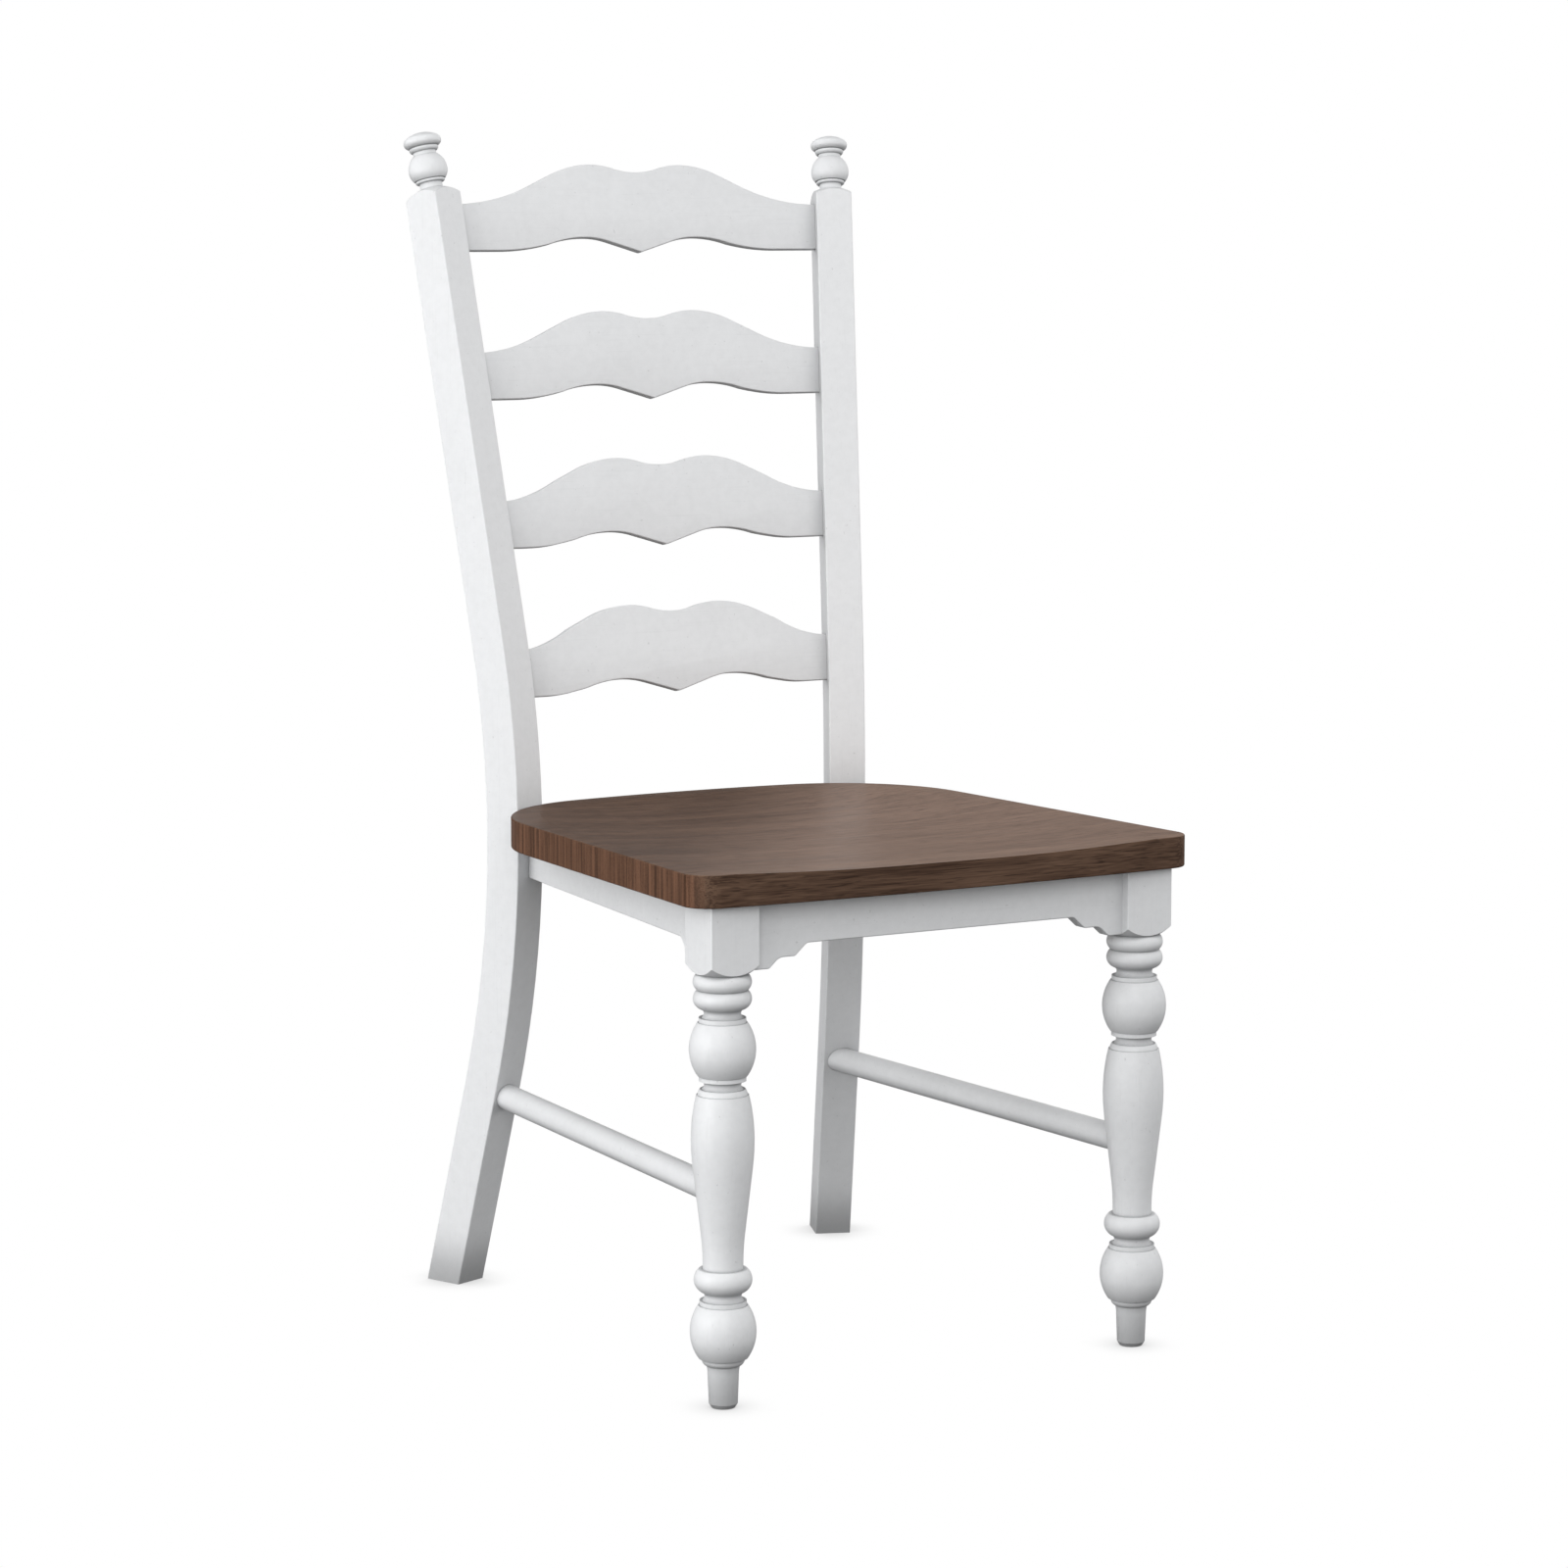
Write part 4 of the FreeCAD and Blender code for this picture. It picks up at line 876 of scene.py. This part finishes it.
class CHAIR_OT_screws(ChairOperator, bpy.types.Operator):
    """Drive the screws through the corner blocks"""

    bl_idname = "chair.screws"
    bl_label = "Screws"

    def execute(self, context):
        size = context.scene.chair_screws
        head = screw_head()
        steel = zinc_steel()
        for name in SCREWS:
            places = [screw_place(part) for part in loose_parts(NODES[name].data)]
            mesh = bpy.data.meshes.new(name + "_points")
            mesh.from_pydata([tuple(point) for point, way, depth in places], [], [])
            ways = mesh.attributes.new("way", "FLOAT_VECTOR", "POINT")
            for item, (point, way, depth) in zip(ways.data, places):
                item.vector = way
            tree, sockets = screw_tree(head, steel)
            piece = grow(name.replace("screws", "pan_screws"), mesh, tree, sockets, {
                "Shank radius": size.shank,
                "Shank length": places[0][2]})
            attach(piece, "root")
            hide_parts(name)
        bpy.data.objects.remove(head)
        return {"FINISHED"}


class CHAIR_OT_stage(ChairOperator, bpy.types.Operator):
    """Lay the floor, hang the lamps and set the camera"""

    bl_idname = "chair.stage"
    bl_label = "Floor, lamps and camera"

    def execute(self, context):
        stage = context.scene.chair_stage
        lay_floor(stage)
        light_room(stage)
        for name, setting, place, width in LAMPS:
            hang_lamp(name, getattr(stage, setting), Vector(place), width)
        place_camera(stage)
        return {"FINISHED"}


# Stage

def white_to_camera(tree, kind, strength, seen, gloss):
    """Even light of a strength that the camera sees as plain white, and gloss as dim white."""
    path = tree.node("ShaderNodeLightPath").outputs
    plain = tree.maths("MAXIMUM", path["Is Camera Ray"], path["Is Transmission Ray"])
    shown = tree.maths("MAXIMUM", plain, path["Is Glossy Ray"])
    dim = tree.remap(plain, 0.0, 1.0, gloss, 1.0)
    white = opaque((1.0, 1.0, 1.0))
    light = tree.node(kind, {"Color": white, "Strength": strength})
    look = tree.node(kind, {"Color": white, "Strength": tree.product(dim, seen)})
    return tree.node("ShaderNodeMixShader", {
        0: shown, 1: light.outputs[0], 2: look.outputs[0]}).outputs[0]


def lay_floor(stage):
    """Pale floor that the camera sees white, with a painted shadow only where the feet stand."""
    mesh = bpy.data.meshes.new("floor")
    mesh.from_pydata([(x * FLOOR_HALF, y * FLOOR_HALF, 0.0)
                      for x, y in ((-1, -1), (1, -1), (1, 1), (-1, 1))], [], [(0, 1, 2, 3)])
    floor = mesh_object("floor", mesh)
    material, tree = new_material("floor")
    # Painted shadow: the floor is darker where the feet stand
    painted_floor_shadow = tree.remap(tree.open_air(stage.shadow, samples=16), *FLOOR_AIR, FLOOR_SHADOW, 1.0)
    surface = white_to_camera(tree, "ShaderNodeEmission", stage.ground, painted_floor_shadow, stage.gloss)
    tree.node("ShaderNodeOutputMaterial", {"Surface": surface})
    mesh.materials.append(material)


def light_room(stage):
    """World: white where it is seen, and an even soft light elsewhere."""
    world = bpy.data.worlds.new("room")
    world.use_nodes = True
    world.node_tree.nodes.clear()
    tree = Tree(world.node_tree)
    surface = white_to_camera(tree, "ShaderNodeBackground", stage.sky, 1.0, stage.gloss)
    tree.node("ShaderNodeOutputWorld", {"Surface": surface})
    bpy.context.scene.world = world


def hang_lamp(name, watts, place, width):
    """Square softbox aimed at the chair; gloss shows only those in front of it."""
    lamp = bpy.data.lights.new(name, "AREA")
    lamp.shape = "SQUARE"
    lamp.size = width
    lamp.energy = watts
    holder = bpy.data.objects.new(name, lamp)
    bpy.context.scene.collection.objects.link(holder)
    holder.location = place
    holder.rotation_mode = "QUATERNION"
    holder.rotation_quaternion = (Vector(LAMP_AIM) - place).to_track_quat("-Z", "Y")
    holder.visible_glossy = place.y < 0.0


def place_camera(stage):
    data = bpy.data.cameras.new("camera")
    data.lens = stage.lens
    data.sensor_width = SENSOR_WIDTH
    camera = bpy.data.objects.new("camera", data)
    bpy.context.scene.collection.objects.link(camera)
    turn = Matrix.Rotation(-stage.heading, 4, "Z")
    turn = turn @ Matrix.Rotation(math.pi / 2 - stage.tilt, 4, "X")
    turn = turn @ Matrix.Rotation(stage.roll, 4, "Z")
    camera.rotation_euler = turn.to_euler()
    camera.location = stage.camera
    bpy.context.scene.camera = camera


class CHAIR_PT_panel(bpy.types.Panel):
    """Sizes, colours and steps of the chair"""

    bl_idname = "CHAIR_PT_panel"
    bl_label = "Ladderback chair"
    bl_space_type = "VIEW_3D"
    bl_region_type = "UI"
    bl_category = "Chair"

    def draw(self, context):
        for key, group in SETTINGS.items():
            box = self.layout.box()
            box.label(text=group.__doc__)
            for name in group.__annotations__:
                box.prop(getattr(context.scene, key), name)
        for operator in OPERATORS:
            self.layout.operator(operator.bl_idname)


SETTINGS = {
    "chair_paint": ChairPaint,
    "chair_stain": ChairStain,
    "chair_slats": ChairSlats,
    "chair_screws": ChairScrews,
    "chair_stage": ChairStage,
}
OPERATORS = (
    CHAIR_OT_front_legs,
    CHAIR_OT_posts,
    CHAIR_OT_slats,
    CHAIR_OT_rails,
    CHAIR_OT_seat,
    CHAIR_OT_blocks,
    CHAIR_OT_screws,
    CHAIR_OT_stage,
)


def register():
    for group in SETTINGS.values():
        bpy.utils.register_class(group)
    for key, group in SETTINGS.items():
        setattr(bpy.types.Scene, key, bpy.props.PointerProperty(type=group))
    for operator in OPERATORS:
        bpy.utils.register_class(operator)
    bpy.utils.register_class(CHAIR_PT_panel)


def unregister():
    bpy.utils.unregister_class(CHAIR_PT_panel)
    for operator in reversed(OPERATORS):
        bpy.utils.unregister_class(operator)
    for key, group in SETTINGS.items():
        delattr(bpy.types.Scene, key)
        bpy.utils.unregister_class(group)


def main():
    register()
    bpy.context.scene.view_settings.view_transform = "Standard"
    bpy.ops.chair.front_legs()
    bpy.ops.chair.posts()
    bpy.ops.chair.slats()
    bpy.ops.chair.rails()
    bpy.ops.chair.seat()
    bpy.ops.chair.blocks()
    bpy.ops.chair.screws()
    bpy.ops.chair.stage()


if __name__ == "__main__":
    main()
